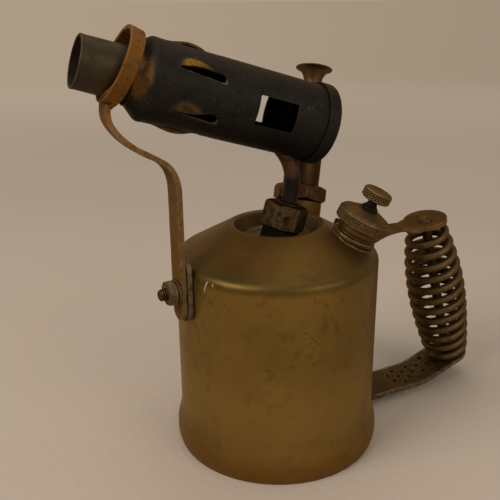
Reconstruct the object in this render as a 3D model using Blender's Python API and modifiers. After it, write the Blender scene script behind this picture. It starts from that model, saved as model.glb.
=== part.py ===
"""Paraffin blow lamp, modelled piece by piece at its real size.

Units are metres and +Z is up. The origin is the middle of the whole lamp's box, on the surface that
it stands on. +X runs from the tank towards the handle, so the burner fires towards -X. Sizes below
are taken from the tank's axis.
"""

import math

import bmesh
import bpy
from mathutils import Matrix, Vector

# General clearances and mesh steps
FIT_GAP = 0.0003
CUT_OVERRUN = 0.004
MERGE_DISTANCE = 0.00002
TANK_SEGMENTS = 48
JACKET_SEGMENTS = 36
TURNED_SEGMENTS = 24
SMALL_SEGMENTS = 16
ARC_STEPS = 4
RIM_STEPS = 3
CORNER_STEPS = 2
BEND_STEPS = 6
FLARE_STEPS = 6
END_STEPS = 8
BRACKET_STEPS_ALONG = 26
BRACKET_STEPS_ACROSS = 6

# Where the tank's axis stands, which puts the origin in the middle of the whole lamp
TANK_PLACE_X = -0.018116
TANK_PLACE_Y = -0.00089

# Tank
TANK_RADIUS = 0.0475
TANK_WALL = 0.0012
FOOT_RADIUS = 0.0489
SKIRT_RADIUS = 0.0498
SKIRT_BULGE_HEIGHT = 0.0060
SKIRT_HEIGHT = 0.0170
SKIRT_FLARE_SHARE = 0.62
BULGE_TOP_SHARE = 1.3
BULGE_FOOT_SHARE = 0.6
CONE_SLOPE = math.radians(29.0)
SHOULDER_ROUND = 0.0046
DISH_RIM_RADIUS = 0.0216
DISH_RIM_HEIGHT = 0.1090
DISH_RIM_ROUND = 0.0011
DISH_DEPTH = 0.0075
DISH_FLOOR_RADIUS = 0.0150
BASE_PLATE_HEIGHT = 0.0062
BASE_PLATE_THICKNESS = 0.0012

# Burner: its axis rises towards the muzzle, and the whole burner is turned a little about the tank
BURNER_RISE = math.radians(16.8)
BURNER_TURN = math.radians(-5.0)
BURNER_REACH = 0.0158
BURNER_HEIGHT = 0.1540
JACKET_RADIUS = 0.0170
JACKET_WALL = 0.0009
JACKET_LENGTH = 0.0850
JACKET_RIDGE_GROWTH = 0.0002
SHOULDER_LENGTH = 0.0070
JACKET_NECK_RADIUS = 0.0124
JACKET_LIP_LENGTH = 0.0012
BURNER_LENGTH = 0.1061
MUZZLE_RADIUS = 0.0107
MUZZLE_ROOT_RADIUS = 0.0111
MUZZLE_WALL = 0.0010
MUZZLE_OVERLAP = 0.0045
MUZZLE_LIP = 0.0003
WINDOW_START = 0.0150
WINDOW_LENGTH = 0.0182
WINDOW_HEIGHT = 0.0116
SLIT_TURNS = [math.radians(degrees) for degrees in (0, 60, 120, 180, 232, 292)]
SLIT_START = 0.0490
SLIT_LENGTH = 0.0203
SLIT_WIDTH = 0.0042
REAR_CAP_DEPTH = 0.0060
REAR_CAP_ROUND = 0.0016

# Vaporiser, jet and gland
PIPE_RADIUS = 0.0036
PIPE_CENTRE_RADIUS = 0.0112
PIPE_OFFSET = -0.0010
PIPE_BEND = 0.0231
PIPE_LOOP_PLACE = 0.0660
PIPE_RETURN_BEND = 0.0045
PIPE_STEP = 0.0045
PIPE_LOOP_STEPS = 9
JET_BLOCK_RADIUS = 0.0055
JET_BLOCK_LENGTH = 0.0165
JET_RADIUS = 0.0026
JET_LENGTH = 0.0048
JET_BORE = 0.0006
PLUG_HEAD_RADIUS = 0.0052
PLUG_HEAD_HEIGHT = 0.0026
PLUG_SHANK_RADIUS = 0.0026
GLAND_FLATS = 0.0182
GLAND_TOP_DROP = 0.0384
GLAND_HEIGHT = 0.0116
GLAND_ROOF = 0.0028
SOCKET_RADIUS = 0.0086
SOCKET_THREAD_RADIUS = 0.0068
SOCKET_LENGTH = 0.0190
OLIVE_HEIGHT = 0.0016
SUCTION_RADIUS = 0.0029
SUCTION_WALL = 0.0006
SUCTION_LENGTH = 0.0830
STRAINER_RADIUS = 0.0052
STRAINER_HEIGHT = 0.0080
STRAINER_WALL = 0.0008

# Pump, on an axis that leans outwards behind the burner
PUMP_TURN = math.radians(42.5)
PUMP_LEAN = math.radians(22.0)
PUMP_REACH = 0.0345
PUMP_BOSS_RADIUS = 0.0116
PUMP_BOSS_RISE = 0.0072
PUMP_BOSS_SINK = 0.0060
PUMP_COLLAR_FLATS = 0.0240
PUMP_COLLAR_HEIGHT = 0.0078
BARREL_RADIUS = 0.0091
BARREL_WALL = 0.0010
BARREL_TOP = 0.0610
BARREL_BOTTOM = -0.0400
PUMP_CAP_RADIUS = 0.0103
PUMP_CAP_SKIRT = 0.0060
PUMP_CAP_ROOF = 0.0030
PUMP_CAP_ROUND = 0.0012
ROD_RADIUS = 0.0022
KNOB_LENGTH = 0.0118
KNOB_RADIUS = 0.0094
KNOB_NECK_RADIUS = 0.0043
KNOB_RIM = 0.0010
KNOB_DISH = 0.0012
KNOB_FLARE_SHARE = 0.72
LEATHER_HEIGHT = 0.0062
LEATHER_WALL = 0.0014
PISTON_PLATE_HEIGHT = 0.0014
PISTON_PLATE_RADIUS = 0.0062
PISTON_NUT_FLATS = 0.0072
PISTON_NUT_HEIGHT = 0.0026
VALVE_SEAT_HEIGHT = 0.0032
VALVE_HOLE_RADIUS = 0.0015
VALVE_CAGE_RADIUS = 0.0064
VALVE_CAGE_WALL = 0.0010
VALVE_CAGE_HEIGHT = 0.0125
VALVE_CAGE_HOLE_RADIUS = 0.0016
VALVE_DISC_RADIUS = 0.0036
VALVE_DISC_HEIGHT = 0.0016
VALVE_STEM_RADIUS = 0.0012
VALVE_STEM_LENGTH = 0.0030
VALVE_SPRING_RADIUS = 0.0025
VALVE_SPRING_WIRE = 0.0007
VALVE_SPRING_CURLS = 4

# Filler neck with its cap and air screw
FILLER_TURN = math.radians(-34.5)
FILLER_LEAN = math.radians(26.0)
FILLER_REACH = 0.0350
NECK_RADIUS = 0.0094
NECK_BORE = 0.0068
NECK_THREAD_RADIUS = 0.0086
NECK_FLANGE_RADIUS = 0.0104
NECK_FLANGE_HEIGHT = 0.0022
NECK_LIFT = 0.0008
NECK_HEIGHT = 0.0112
NECK_SINK = 0.0034
CAP_RADIUS = 0.0125
CAP_BAND_START = 0.0071
CAP_BAND_HEIGHT = 0.0054
CAP_WALL = 0.0014
CAP_DOME_HEIGHT = 0.0031
CAP_DOME_RADIUS = 0.0113
DOME_TOP_SHARE = 0.78
DOME_SLOPE_SHARE = 0.30
DOME_SIDE_SHARE = 0.72
CAP_EDGE = 0.0007
GASKET_HEIGHT = 0.0012
VENT_STEM_RADIUS = 0.0022
VENT_COLLAR_RADIUS = 0.0036
VENT_COLLAR_HEIGHT = 0.0012
VENT_STEM_RISE = 0.0034
VENT_POINT = 0.0016
VENT_KNOB_RADIUS = 0.0068
VENT_KNOB_HEIGHT = 0.0050
VENT_KNOB_EDGE = 0.0009

# Handle
HANDLE_PLATE_THICKNESS = 0.0024
HANDLE_FOOT_START = 0.0368
HANDLE_FOOT_END = 0.0460
HANDLE_FOOT_HALF_WIDTH = 0.0150
HANDLE_FOOT_CORNER_SHARE = 0.35
HANDLE_END_SHARE = 0.7
HANDLE_TIP_SHARE = 0.985
HANDLE_WAIST_PLACE = 0.0715
HANDLE_WAIST_HALF_WIDTH = 0.0043
HANDLE_END_RADIUS = 0.0112
HANDLE_END_TILT = math.radians(11.0)
HANDLE_ARM_HEIGHT = 0.0940
HANDLE_BEND_SOFTNESS = 0.0015
HANDLE_LIFT_START = 0.0395
HANDLE_LIFT_END = 0.0500
HANDLE_LIFT_SPREAD = 0.35
GRIP_TOP_REACH = 0.0902
GRIP_TOP_HEIGHT = 0.0950
GRIP_BOTTOM_REACH = 0.1140
LOWER_STRAP_WIDTH = 0.0220
LOWER_STRAP_THICKNESS = 0.0022
LOWER_STRAP_HEIGHT = 0.0034
LOWER_STRAP_START = 0.0260
LOWER_STRAP_BEND_PLACE = 0.0860
LOWER_STRAP_BEND_RADIUS = 0.0300
LOWER_STRAP_RISE = math.radians(18.0)
STRAP_HOLE_RADIUS = 0.0014
STRAP_HOLE_START = 0.0740
STRAP_HOLE_PITCH = 0.0051
STRAP_HOLE_SPREAD = 0.0062
STRAP_HOLE_COLUMNS = 6
STRAP_RIVET_REACH = 0.0340
STRAP_RIVET_SPREAD = 0.0065
RIVET_RADIUS = 0.0016
RIVET_HEAD_RADIUS = 0.0031
RIVET_HEAD_HEIGHT = 0.0012
RIVET_FACE_SHARE = 0.7
GRIP_ROD_RADIUS = 0.0026
GRIP_ROD_HEAD_RADIUS = 0.0036
GRIP_ROD_HEAD_HEIGHT = 0.0011
GRIP_WIRE_RADIUS = 0.0022
GRIP_CURLS = 12
GRIP_TOP_SPARE = 0.0009
GRIP_POINTS_PER_CURL = 10
GRIP_BOTTOM_RADIUS = 0.0100
GRIP_TOP_RADIUS = 0.0084
GRIP_MIDDLE_RADIUS = 0.0136
GRIP_FULLNESS = 0.9

# Burner stay: a strap bolted to the tank, with a hoop around the muzzle tube
STAY_PLATE_WIDTH = 0.0120
STAY_PLATE_THICKNESS = 0.0020
STAY_PLATE_BOTTOM = 0.0715
STAY_PLATE_TOP = 0.1015
STAY_BOLT_HEIGHT = 0.0860
STAY_BOLT_RADIUS = 0.0027
STAY_BOLT_REACH = 0.0610
STAY_TURN = math.radians(4.0)
STAY_WIDTH = 0.0095
STAY_THICKNESS = 0.0022
STAY_END_DROP = 0.0135
STAY_STRAIGHT_TOP = 0.1280
STAY_HOOP_PLACE = 0.0884
STAY_HOOP_LIFT = 0.0024
STAY_HOOP_LEAN = math.radians(10.5)
STAY_HOOP_INNER = 0.0145
STAY_HOOP_THICKNESS = 0.0018
STAY_HOOP_WIDTH = 0.0060
WASHER_RADIUS = 0.0056
WASHER_THICKNESS = 0.0010
STAY_NUT_FLATS = 0.0100
STAY_NUT_HEIGHT = 0.0038

# Surface colours: base colour, roughness, metallic
FINISHES = {
    "tank_brass": ((0.27, 0.19, 0.075), 0.42, 1.0),
    "worn_brass": ((0.30, 0.21, 0.09), 0.48, 1.0),
    "burnt_steel": ((0.055, 0.055, 0.05), 0.62, 0.7),
    "muzzle_steel": ((0.16, 0.145, 0.12), 0.6, 0.7),
    "burnt_copper": ((0.16, 0.075, 0.05), 0.55, 0.9),
    "rusty_steel": ((0.30, 0.19, 0.085), 0.75, 0.4),
    "dull_steel": ((0.24, 0.21, 0.17), 0.6, 0.7),
    "dark_bronze": ((0.15, 0.11, 0.065), 0.5, 0.9),
    "black_steel": ((0.03, 0.03, 0.032), 0.6, 0.5),
    "leather": ((0.11, 0.055, 0.03), 0.85, 0.0),
}

collections = {}
materials = {}
frames = {}


def start_scene():
    """Empties the scene, and makes the two collections, the tank's axis and the materials."""
    for old in list(bpy.data.objects):
        bpy.data.objects.remove(old, do_unlink=True)
    for key, label in (("parts", "paraffin_blow_lamp"), ("cutters", "cutters")):
        collections[key] = bpy.data.collections.new(label)
        bpy.context.scene.collection.children.link(collections[key])
    frame = bpy.data.objects.new("tank_axis", None)
    frame.location = (TANK_PLACE_X, TANK_PLACE_Y, 0)
    collections["parts"].objects.link(frame)
    frames["tank"] = frame
    for key, (colour, roughness, metallic) in FINISHES.items():
        material = bpy.data.materials.new(key)
        material.use_nodes = True
        shader = material.node_tree.nodes["Principled BSDF"]
        shader.inputs["Base Color"].default_value = (*colour, 1.0)
        shader.inputs["Roughness"].default_value = roughness
        shader.inputs["Metallic"].default_value = metallic
        materials[key] = material


def empty(name, location, direction, spin=0.0):
    """An empty whose +Z runs along a direction and whose +Y stays level, turned about the tank's axis."""
    z_axis = Vector(direction).normalized()
    side = Vector((0, 0, 1)).cross(z_axis)
    y_axis = side.normalized() if side.length > 0 else Vector((0, 1, 0))
    x_axis = y_axis.cross(z_axis)
    turn = Matrix.Rotation(spin, 4, "Z")
    basis = Matrix((x_axis, y_axis, z_axis)).transposed().to_4x4()
    holder = bpy.data.objects.new(name, None)
    holder.parent = frames["tank"]
    holder.matrix_local = turn @ Matrix.Translation(location) @ basis
    collections["parts"].objects.link(holder)
    return holder


def add_object(name, mesh, finish, parent=None, location=(0, 0, 0)):
    """Links a mesh as a named piece, or as a cutter when it has no finish."""
    piece = bpy.data.objects.new(name, mesh)
    piece.parent = parent or frames["tank"]
    piece.location = location
    if finish is None:
        collections["cutters"].objects.link(piece)
        piece.hide_render = True
        piece.display_type = "WIRE"
    else:
        collections["parts"].objects.link(piece)
        mesh.materials.append(materials[finish])
    return piece


def turned(name, profile, segments, finish, parent=None, location=(0, 0, 0), ring=False):
    """A turned piece: a profile of (radius, height), down its outer side, spun about Z."""
    mesh = bpy.data.meshes.new(name)
    points = [(radius, 0, height) for radius, height in profile]
    edges = [(k, k + 1) for k in range(len(points) - 1)]
    if ring:
        edges.append((len(points) - 1, 0))
    mesh.from_pydata(points, edges, [])
    piece = add_object(name, mesh, finish, parent, location)
    screw = piece.modifiers.new("turning", "SCREW")
    screw.axis = "Z"
    screw.steps = segments
    screw.render_steps = segments
    screw.use_merge_vertices = True
    screw.merge_threshold = MERGE_DISTANCE
    screw.use_smooth_shade = True
    return piece


def tube(name, outer, inner, low, high, segments, finish, parent=None):
    """A plain turned tube between two heights."""
    profile = [(outer, high), (outer, low), (inner, low), (inner, high)]
    return turned(name, profile, segments, finish, parent, ring=True)


def prism(name, sides, flats, low, high, finish, parent=None, turn=0.0):
    """An upright prism, such as a hexagon, given by its width across flats."""
    mesh = bpy.data.meshes.new(name)
    shape = bmesh.new()
    radius = flats / 2 / math.cos(math.pi / sides)
    depth = high - low
    bmesh.ops.create_cone(shape, cap_ends=True, segments=sides, radius1=radius, radius2=radius, depth=depth)
    place = Matrix.Translation((0, 0, (low + high) / 2)) @ Matrix.Rotation(turn, 4, "Z")
    bmesh.ops.transform(shape, matrix=place, verts=shape.verts)
    shape.to_mesh(mesh)
    shape.free()
    return add_object(name, mesh, finish, parent)


def cylinder(name, radius, low, high, segments, finish, parent=None, location=(0, 0, 0)):
    """A solid round bar along Z."""
    profile = [(0, high), (radius, high), (radius, low), (0, low)]
    return turned(name, profile, segments, finish, parent, location)


def block(name, low, high, finish, parent=None):
    """A rectangular block between two corners."""
    mesh = bpy.data.meshes.new(name)
    shape = bmesh.new()
    bmesh.ops.create_cube(shape, size=1)
    size = [high[k] - low[k] for k in range(3)]
    middle = [(high[k] + low[k]) / 2 for k in range(3)]
    bmesh.ops.scale(shape, vec=size, verts=shape.verts)
    bmesh.ops.translate(shape, vec=middle, verts=shape.verts)
    shape.to_mesh(mesh)
    shape.free()
    return add_object(name, mesh, finish, parent)


def as_mesh(curve_object, finish):
    """Replaces a curve object by a closed mesh of the same name and place."""
    name, parent = curve_object.name, curve_object.parent
    bpy.context.view_layer.update()
    evaluated = curve_object.evaluated_get(bpy.context.evaluated_depsgraph_get())
    mesh = bpy.data.meshes.new_from_object(evaluated)
    shape = bmesh.new()
    shape.from_mesh(mesh)
    bmesh.ops.remove_doubles(shape, verts=shape.verts, dist=MERGE_DISTANCE)
    shape.to_mesh(mesh)
    shape.free()
    mesh.materials.clear()
    local = curve_object.matrix_local.copy()
    bpy.data.objects.remove(curve_object, do_unlink=True)
    mesh.name = name
    piece = add_object(name, mesh, finish, parent)
    piece.matrix_local = local
    return piece


def bar_along(name, points, radius, resolution, finish, parent=None):
    """A round bar along points: a POLY curve with filled caps, made a mesh."""
    curve = bpy.data.curves.new(name, "CURVE")
    curve.dimensions = "3D"
    curve.bevel_depth = radius
    curve.bevel_resolution = resolution
    curve.use_fill_caps = True
    spline = curve.splines.new("POLY")
    spline.points.add(len(points) - 1)
    for point, place in zip(spline.points, points):
        point.co = (*place, 1)
    holder = bpy.data.objects.new(name, curve)
    holder.parent = parent or frames["tank"]
    collections["cutters"].objects.link(holder)
    return as_mesh(holder, finish)


def flat_outline(name, points, thickness, finish, parent=None, matrix=None):
    """A flat plate from a closed outline in XY, centred on its own plane and then placed by a matrix."""
    curve = bpy.data.curves.new(name, "CURVE")
    curve.dimensions = "2D"
    curve.fill_mode = "BOTH"
    curve.extrude = thickness / 2
    spline = curve.splines.new("POLY")
    spline.points.add(len(points) - 1)
    spline.use_cyclic_u = True
    for point, place in zip(spline.points, points):
        point.co = (place[0], place[1], 0, 1)
    holder = bpy.data.objects.new(name, curve)
    holder.parent = parent or frames["tank"]
    collections["cutters"].objects.link(holder)
    piece = as_mesh(holder, finish)
    if matrix is not None:
        piece.data.transform(matrix)
    return piece


def round_end_cutter(name, radius, matrix):
    """A thick plate with a round bite: it rounds off the end of a strap that runs along the matrix's +X."""
    side = radius + CUT_OVERRUN
    outline = [(0, -side), (2 * side, -side), (2 * side, side), (0, side)]
    outline += arc((0, 0), radius, math.pi / 2, -math.pi / 2, 14)
    return flat_outline(name, outline, 4 * CUT_OVERRUN, None, None, matrix)


def combine(piece, other, operation):
    """A Boolean modifier with the EXACT solver."""
    change = piece.modifiers.new(other.name, "BOOLEAN")
    change.operation = operation
    change.object = other
    change.solver = "EXACT"


def cut(piece, *cutters):
    """Takes each cutter out of a piece."""
    for cutter in cutters:
        combine(piece, cutter, "DIFFERENCE")


def arc(centre, radius, start, end, steps=ARC_STEPS):
    """Points on an arc, both ends included, as (x, y)."""
    turns = [start + (end - start) * k / steps for k in range(steps + 1)]
    return [(centre[0] + radius * math.cos(a), centre[1] + radius * math.sin(a)) for a in turns]


def cone_height(reach):
    """Height of the tank's conical top at a distance from the tank's axis."""
    return DISH_RIM_HEIGHT - (reach - DISH_RIM_RADIUS) * math.tan(CONE_SLOPE)


def shoulder_centre():
    """Centre of the rounding between the tank's cone and its wall, as (radius, height)."""
    radius = TANK_RADIUS - SHOULDER_ROUND
    edge = radius + SHOULDER_ROUND * math.sin(CONE_SLOPE)
    return radius, cone_height(edge) - SHOULDER_ROUND * math.cos(CONE_SLOPE)


def tank_outline(inset):
    """The tank's side from the dish to the foot, set in from the outside by the wall, as (radius, height)."""
    centre_radius, centre_height = shoulder_centre()
    floor = DISH_RIM_HEIGHT - DISH_DEPTH
    upright = math.pi / 2
    rim_radius = DISH_RIM_ROUND + TANK_WALL
    rim_centre = (DISH_RIM_RADIUS, DISH_RIM_HEIGHT - rim_radius / math.cos(CONE_SLOPE))
    rim = arc(rim_centre, rim_radius - inset, math.pi - upright / 3, upright - CONE_SLOPE, RIM_STEPS)
    shoulder = arc((centre_radius, centre_height), SHOULDER_ROUND - inset, upright - CONE_SLOPE, 0)
    corner_radius = DISH_DEPTH / 3
    corner_centre = (DISH_FLOOR_RADIUS, floor + corner_radius)
    dish_corner = arc(corner_centre, corner_radius + inset, -upright, -upright / 4, CORNER_STEPS)
    side = [
        (TANK_RADIUS - inset, SKIRT_HEIGHT),
        (SKIRT_RADIUS - inset - (SKIRT_RADIUS - TANK_RADIUS) / 2, SKIRT_HEIGHT * SKIRT_FLARE_SHARE),
        (SKIRT_RADIUS - inset, SKIRT_BULGE_HEIGHT * BULGE_TOP_SHARE),
        (SKIRT_RADIUS - inset, SKIRT_BULGE_HEIGHT * BULGE_FOOT_SHARE),
        (FOOT_RADIUS - inset, 0),
    ]
    return [(0, floor - inset)] + dish_corner + rim + shoulder + side


def make_tank():
    """The drawn brass tank with its dish, and the base plate soldered in its skirt."""
    outside = tank_outline(0)
    inside = tank_outline(TANK_WALL)
    tank = turned("tank_shell", outside + inside[::-1], TANK_SEGMENTS, "tank_brass")
    plate_top = BASE_PLATE_HEIGHT + BASE_PLATE_THICKNESS
    plate_radius = SKIRT_RADIUS - TANK_WALL - FIT_GAP
    profile = [
        (0, plate_top),
        (plate_radius, plate_top),
        (plate_radius, BASE_PLATE_HEIGHT),
        (0, BASE_PLATE_HEIGHT),
    ]
    plate = turned("base_plate", profile, TANK_SEGMENTS, "tank_brass")
    return tank, plate


def burner_frame():
    """Empties for the burner: one along its axis towards the muzzle, one along the gland's axis, upwards."""
    rear = Vector((BURNER_REACH, 0, BURNER_HEIGHT))
    forward = Vector((-math.cos(BURNER_RISE), 0, math.sin(BURNER_RISE)))
    upward = Vector((math.sin(BURNER_RISE), 0, math.cos(BURNER_RISE)))
    axis = empty("burner_axis", rear, forward, BURNER_TURN)
    gland = empty("gland_axis", rear + forward * PIPE_OFFSET, upward, BURNER_TURN)
    return axis, gland


def vaporiser_path():
    """The pipe's centre line in the burner's frame, whose +Z runs to the muzzle and +X downwards.

    It goes up from the gland, forward under the flame, round in half a loop, and back to the jet block.
    """
    run = PIPE_CENTRE_RADIUS
    start_depth = GLAND_TOP_DROP + GLAND_HEIGHT
    bend_depth = run + PIPE_BEND
    first_bend = arc((PIPE_OFFSET + PIPE_BEND, bend_depth), PIPE_BEND, math.pi, math.pi * 1.5, BEND_STEPS)
    low_end = first_bend[-1][0]
    straights = round((PIPE_LOOP_PLACE - low_end) / PIPE_STEP / 2)
    ahead = [(low_end + (PIPE_LOOP_PLACE - low_end) * k / straights, run) for k in range(1, straights)]
    side_on = [(PIPE_OFFSET, start_depth), (PIPE_OFFSET, (start_depth + bend_depth) / 2)] + first_bend + ahead
    path = [Vector((depth, 0, place)) for place, depth in side_on]
    for k in range(PIPE_LOOP_STEPS + 1):
        turn = math.pi * k / PIPE_LOOP_STEPS
        place = PIPE_LOOP_PLACE + math.sin(turn) * PIPE_STEP
        path.append(Vector((run * math.cos(turn), run * math.sin(turn), place)))
    drop = (JET_BLOCK_RADIUS + PIPE_OFFSET + PIPE_RETURN_BEND, PIPE_RETURN_BEND - run)
    back = [(PIPE_LOOP_PLACE + (drop[0] - PIPE_LOOP_PLACE) * k / straights, -run) for k in range(1, straights)]
    back += arc(drop, PIPE_RETURN_BEND, math.pi * 1.5, math.pi, ARC_STEPS)
    back.append((drop[0] - PIPE_RETURN_BEND, -JET_BLOCK_RADIUS - FIT_GAP))
    return path + [Vector((depth, 0, place)) for place, depth in back]


def make_burner(axis, gland, tank):
    """The burner: jacket, muzzle, rear cap, vaporiser pipe, jet, gland nut, socket and suction tube."""
    neck_bore = JACKET_NECK_RADIUS - JACKET_WALL
    ridge = JACKET_LENGTH - SHOULDER_LENGTH
    rear = FIT_GAP + JACKET_WALL - REAR_CAP_DEPTH
    outside = [
        (JACKET_NECK_RADIUS, JACKET_LENGTH),
        (JACKET_NECK_RADIUS, JACKET_LENGTH - JACKET_LIP_LENGTH),
        (JACKET_RADIUS - JACKET_WALL / 2, ridge + JACKET_LIP_LENGTH),
        (JACKET_RADIUS + JACKET_RIDGE_GROWTH, ridge),
        (JACKET_RADIUS, ridge - JACKET_LIP_LENGTH * 2),
        (JACKET_RADIUS, rear),
    ]
    inside = [
        (JACKET_RADIUS - JACKET_WALL, rear),
        (JACKET_RADIUS - JACKET_WALL, ridge - JACKET_LIP_LENGTH),
        (neck_bore, JACKET_LENGTH - JACKET_LIP_LENGTH - JACKET_WALL),
        (neck_bore, JACKET_LENGTH),
    ]
    jacket = turned("burner_jacket", outside + inside, JACKET_SEGMENTS, "burnt_steel", axis, ring=True)
    reach = JACKET_RADIUS + CUT_OVERRUN
    window = block(
        "window_cutter",
        (-WINDOW_HEIGHT / 2, -reach, WINDOW_START),
        (WINDOW_HEIGHT / 2, reach, WINDOW_START + WINDOW_LENGTH),
        None,
        axis,
    )
    cut(jacket, window)
    round_end = SLIT_WIDTH / 2
    slit_shape = arc((SLIT_START + round_end, 0), round_end, math.radians(70), math.radians(290), BEND_STEPS)
    slit_shape.append((SLIT_START + SLIT_LENGTH, 0))
    for k, turn in enumerate(SLIT_TURNS):
        upright = Matrix.Rotation(turn, 4, "Z") @ Matrix.Translation((JACKET_RADIUS, 0, 0))
        upright = upright @ Matrix.Rotation(-math.pi / 2, 4, "Y")
        cut(jacket, flat_outline(f"slit_cutter_{k + 1}", slit_shape, 2 * CUT_OVERRUN, None, axis, upright))

    root = JACKET_LENGTH - MUZZLE_OVERLAP
    muzzle_profile = [
        (MUZZLE_RADIUS - MUZZLE_LIP, BURNER_LENGTH),
        (MUZZLE_RADIUS, BURNER_LENGTH - MUZZLE_LIP),
        (MUZZLE_ROOT_RADIUS, root),
        (MUZZLE_ROOT_RADIUS - MUZZLE_WALL, root),
        (MUZZLE_RADIUS - MUZZLE_WALL, BURNER_LENGTH),
    ]
    turned("muzzle_tube", muzzle_profile, JACKET_SEGMENTS, "muzzle_steel", axis, ring=True)

    cap_outer = JACKET_RADIUS + FIT_GAP + JACKET_WALL
    cap_profile = [
        (0, -REAR_CAP_DEPTH + JACKET_WALL),
        (JACKET_RADIUS + FIT_GAP, -REAR_CAP_DEPTH + JACKET_WALL),
        (JACKET_RADIUS + FIT_GAP, 0),
        (cap_outer, 0),
        (cap_outer, -REAR_CAP_DEPTH + REAR_CAP_ROUND),
        (cap_outer - REAR_CAP_ROUND, -REAR_CAP_DEPTH),
        (0, -REAR_CAP_DEPTH),
    ]
    rear_cap = turned("rear_cap", cap_profile, JACKET_SEGMENTS, "muzzle_steel", axis)
    plug_hole = cylinder(
        "plug_hole_cutter",
        PLUG_SHANK_RADIUS + FIT_GAP,
        -REAR_CAP_DEPTH - CUT_OVERRUN,
        0,
        SMALL_SEGMENTS,
        None,
        axis,
    )
    path = vaporiser_path()
    pipe_clearance = bar_along("pipe_cutter", path, PIPE_RADIUS + FIT_GAP, 3, None, axis)
    cut(rear_cap, plug_hole, pipe_clearance)
    cut(jacket, pipe_clearance)
    bar_along("vaporiser_pipe", path, PIPE_RADIUS, 2, "burnt_copper", axis)

    block_start = rear
    block_end = block_start + JET_BLOCK_LENGTH
    plug_depth = JET_BLOCK_LENGTH / 3
    jet_block_profile = [
        (JET_BORE * 2, block_end),
        (JET_BLOCK_RADIUS, block_end),
        (JET_BLOCK_RADIUS, block_start),
        (PLUG_SHANK_RADIUS + FIT_GAP, block_start),
        (PLUG_SHANK_RADIUS + FIT_GAP, block_start + plug_depth),
        (JET_BORE * 2, block_start + plug_depth),
    ]
    turned("jet_block", jet_block_profile, TURNED_SEGMENTS, "worn_brass", axis, ring=True)
    jet_start = block_end + FIT_GAP
    jet_profile = [
        (JET_BORE, jet_start + JET_LENGTH),
        (JET_RADIUS / 2, jet_start + JET_LENGTH),
        (JET_RADIUS, jet_start + JET_LENGTH / 2),
        (JET_RADIUS, jet_start),
        (JET_BORE, jet_start),
    ]
    turned("jet_nipple", jet_profile, SMALL_SEGMENTS, "worn_brass", axis, ring=True)
    head_face = -REAR_CAP_DEPTH - FIT_GAP
    plug_profile = [
        (0, block_start + plug_depth - FIT_GAP),
        (PLUG_SHANK_RADIUS, block_start + plug_depth - FIT_GAP),
        (PLUG_SHANK_RADIUS, head_face),
        (PLUG_HEAD_RADIUS, head_face),
        (PLUG_HEAD_RADIUS, head_face - PLUG_HEAD_HEIGHT),
        (0, head_face - PLUG_HEAD_HEIGHT),
    ]
    turned("rear_plug_screw", plug_profile, TURNED_SEGMENTS, "worn_brass", axis)

    nut_top = -GLAND_TOP_DROP
    nut_bottom = nut_top - GLAND_HEIGHT
    nut = prism("gland_nut", 6, GLAND_FLATS, nut_bottom, nut_top, "worn_brass", gland, math.radians(7))
    thread_bore = SOCKET_THREAD_RADIUS + FIT_GAP
    cut(
        nut,
        cylinder(
            "gland_bore_cutter",
            thread_bore,
            nut_bottom - CUT_OVERRUN,
            nut_top - GLAND_ROOF,
            TURNED_SEGMENTS,
            None,
            gland,
        ),
        cylinder(
            "gland_hole_cutter",
            PIPE_RADIUS + FIT_GAP,
            nut_bottom,
            nut_top + CUT_OVERRUN,
            TURNED_SEGMENTS,
            None,
            gland,
        ),
    )
    olive_top = nut_top - GLAND_ROOF - FIT_GAP
    tube(
        "gland_olive",
        SOCKET_THREAD_RADIUS,
        PIPE_RADIUS + FIT_GAP,
        olive_top - OLIVE_HEIGHT,
        olive_top,
        TURNED_SEGMENTS,
        "worn_brass",
        gland,
    )
    socket_top = olive_top - OLIVE_HEIGHT - FIT_GAP
    socket_step = nut_bottom - FIT_GAP
    socket_bottom = socket_top - SOCKET_LENGTH
    bore = PIPE_RADIUS + FIT_GAP
    socket_profile = [
        (SOCKET_THREAD_RADIUS, socket_top),
        (SOCKET_THREAD_RADIUS, socket_step),
        (SOCKET_RADIUS, socket_step),
        (SOCKET_RADIUS, socket_bottom),
        (bore, socket_bottom),
        (bore, socket_top),
    ]
    turned("burner_socket", socket_profile, TURNED_SEGMENTS, "worn_brass", gland, ring=True)
    cut(
        tank,
        cylinder(
            "socket_hole_cutter",
            SOCKET_RADIUS + FIT_GAP,
            socket_bottom - CUT_OVERRUN,
            nut_top,
            TURNED_SEGMENTS,
            None,
            gland,
        ),
    )
    suction_top = nut_bottom - FIT_GAP
    suction_bottom = suction_top - SUCTION_LENGTH
    tube(
        "suction_tube",
        SUCTION_RADIUS,
        SUCTION_RADIUS - SUCTION_WALL,
        suction_bottom,
        suction_top,
        SMALL_SEGMENTS,
        "worn_brass",
        gland,
    )
    strainer_profile = [
        (SUCTION_RADIUS + FIT_GAP, suction_bottom + STRAINER_HEIGHT / 2),
        (STRAINER_RADIUS, suction_bottom + STRAINER_HEIGHT / 2),
        (STRAINER_RADIUS, suction_bottom - STRAINER_HEIGHT / 2),
        (0, suction_bottom - STRAINER_HEIGHT / 2),
        (0, suction_bottom - STRAINER_HEIGHT / 2 + STRAINER_WALL),
        (STRAINER_RADIUS - STRAINER_WALL, suction_bottom - STRAINER_HEIGHT / 2 + STRAINER_WALL),
        (STRAINER_RADIUS - STRAINER_WALL, suction_bottom + STRAINER_HEIGHT / 2 - STRAINER_WALL),
        (SUCTION_RADIUS + FIT_GAP, suction_bottom + STRAINER_HEIGHT / 2 - STRAINER_WALL),
    ]
    strainer = turned("suction_strainer", strainer_profile, SMALL_SEGMENTS, "worn_brass", gland, ring=True)
    return strainer


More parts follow.
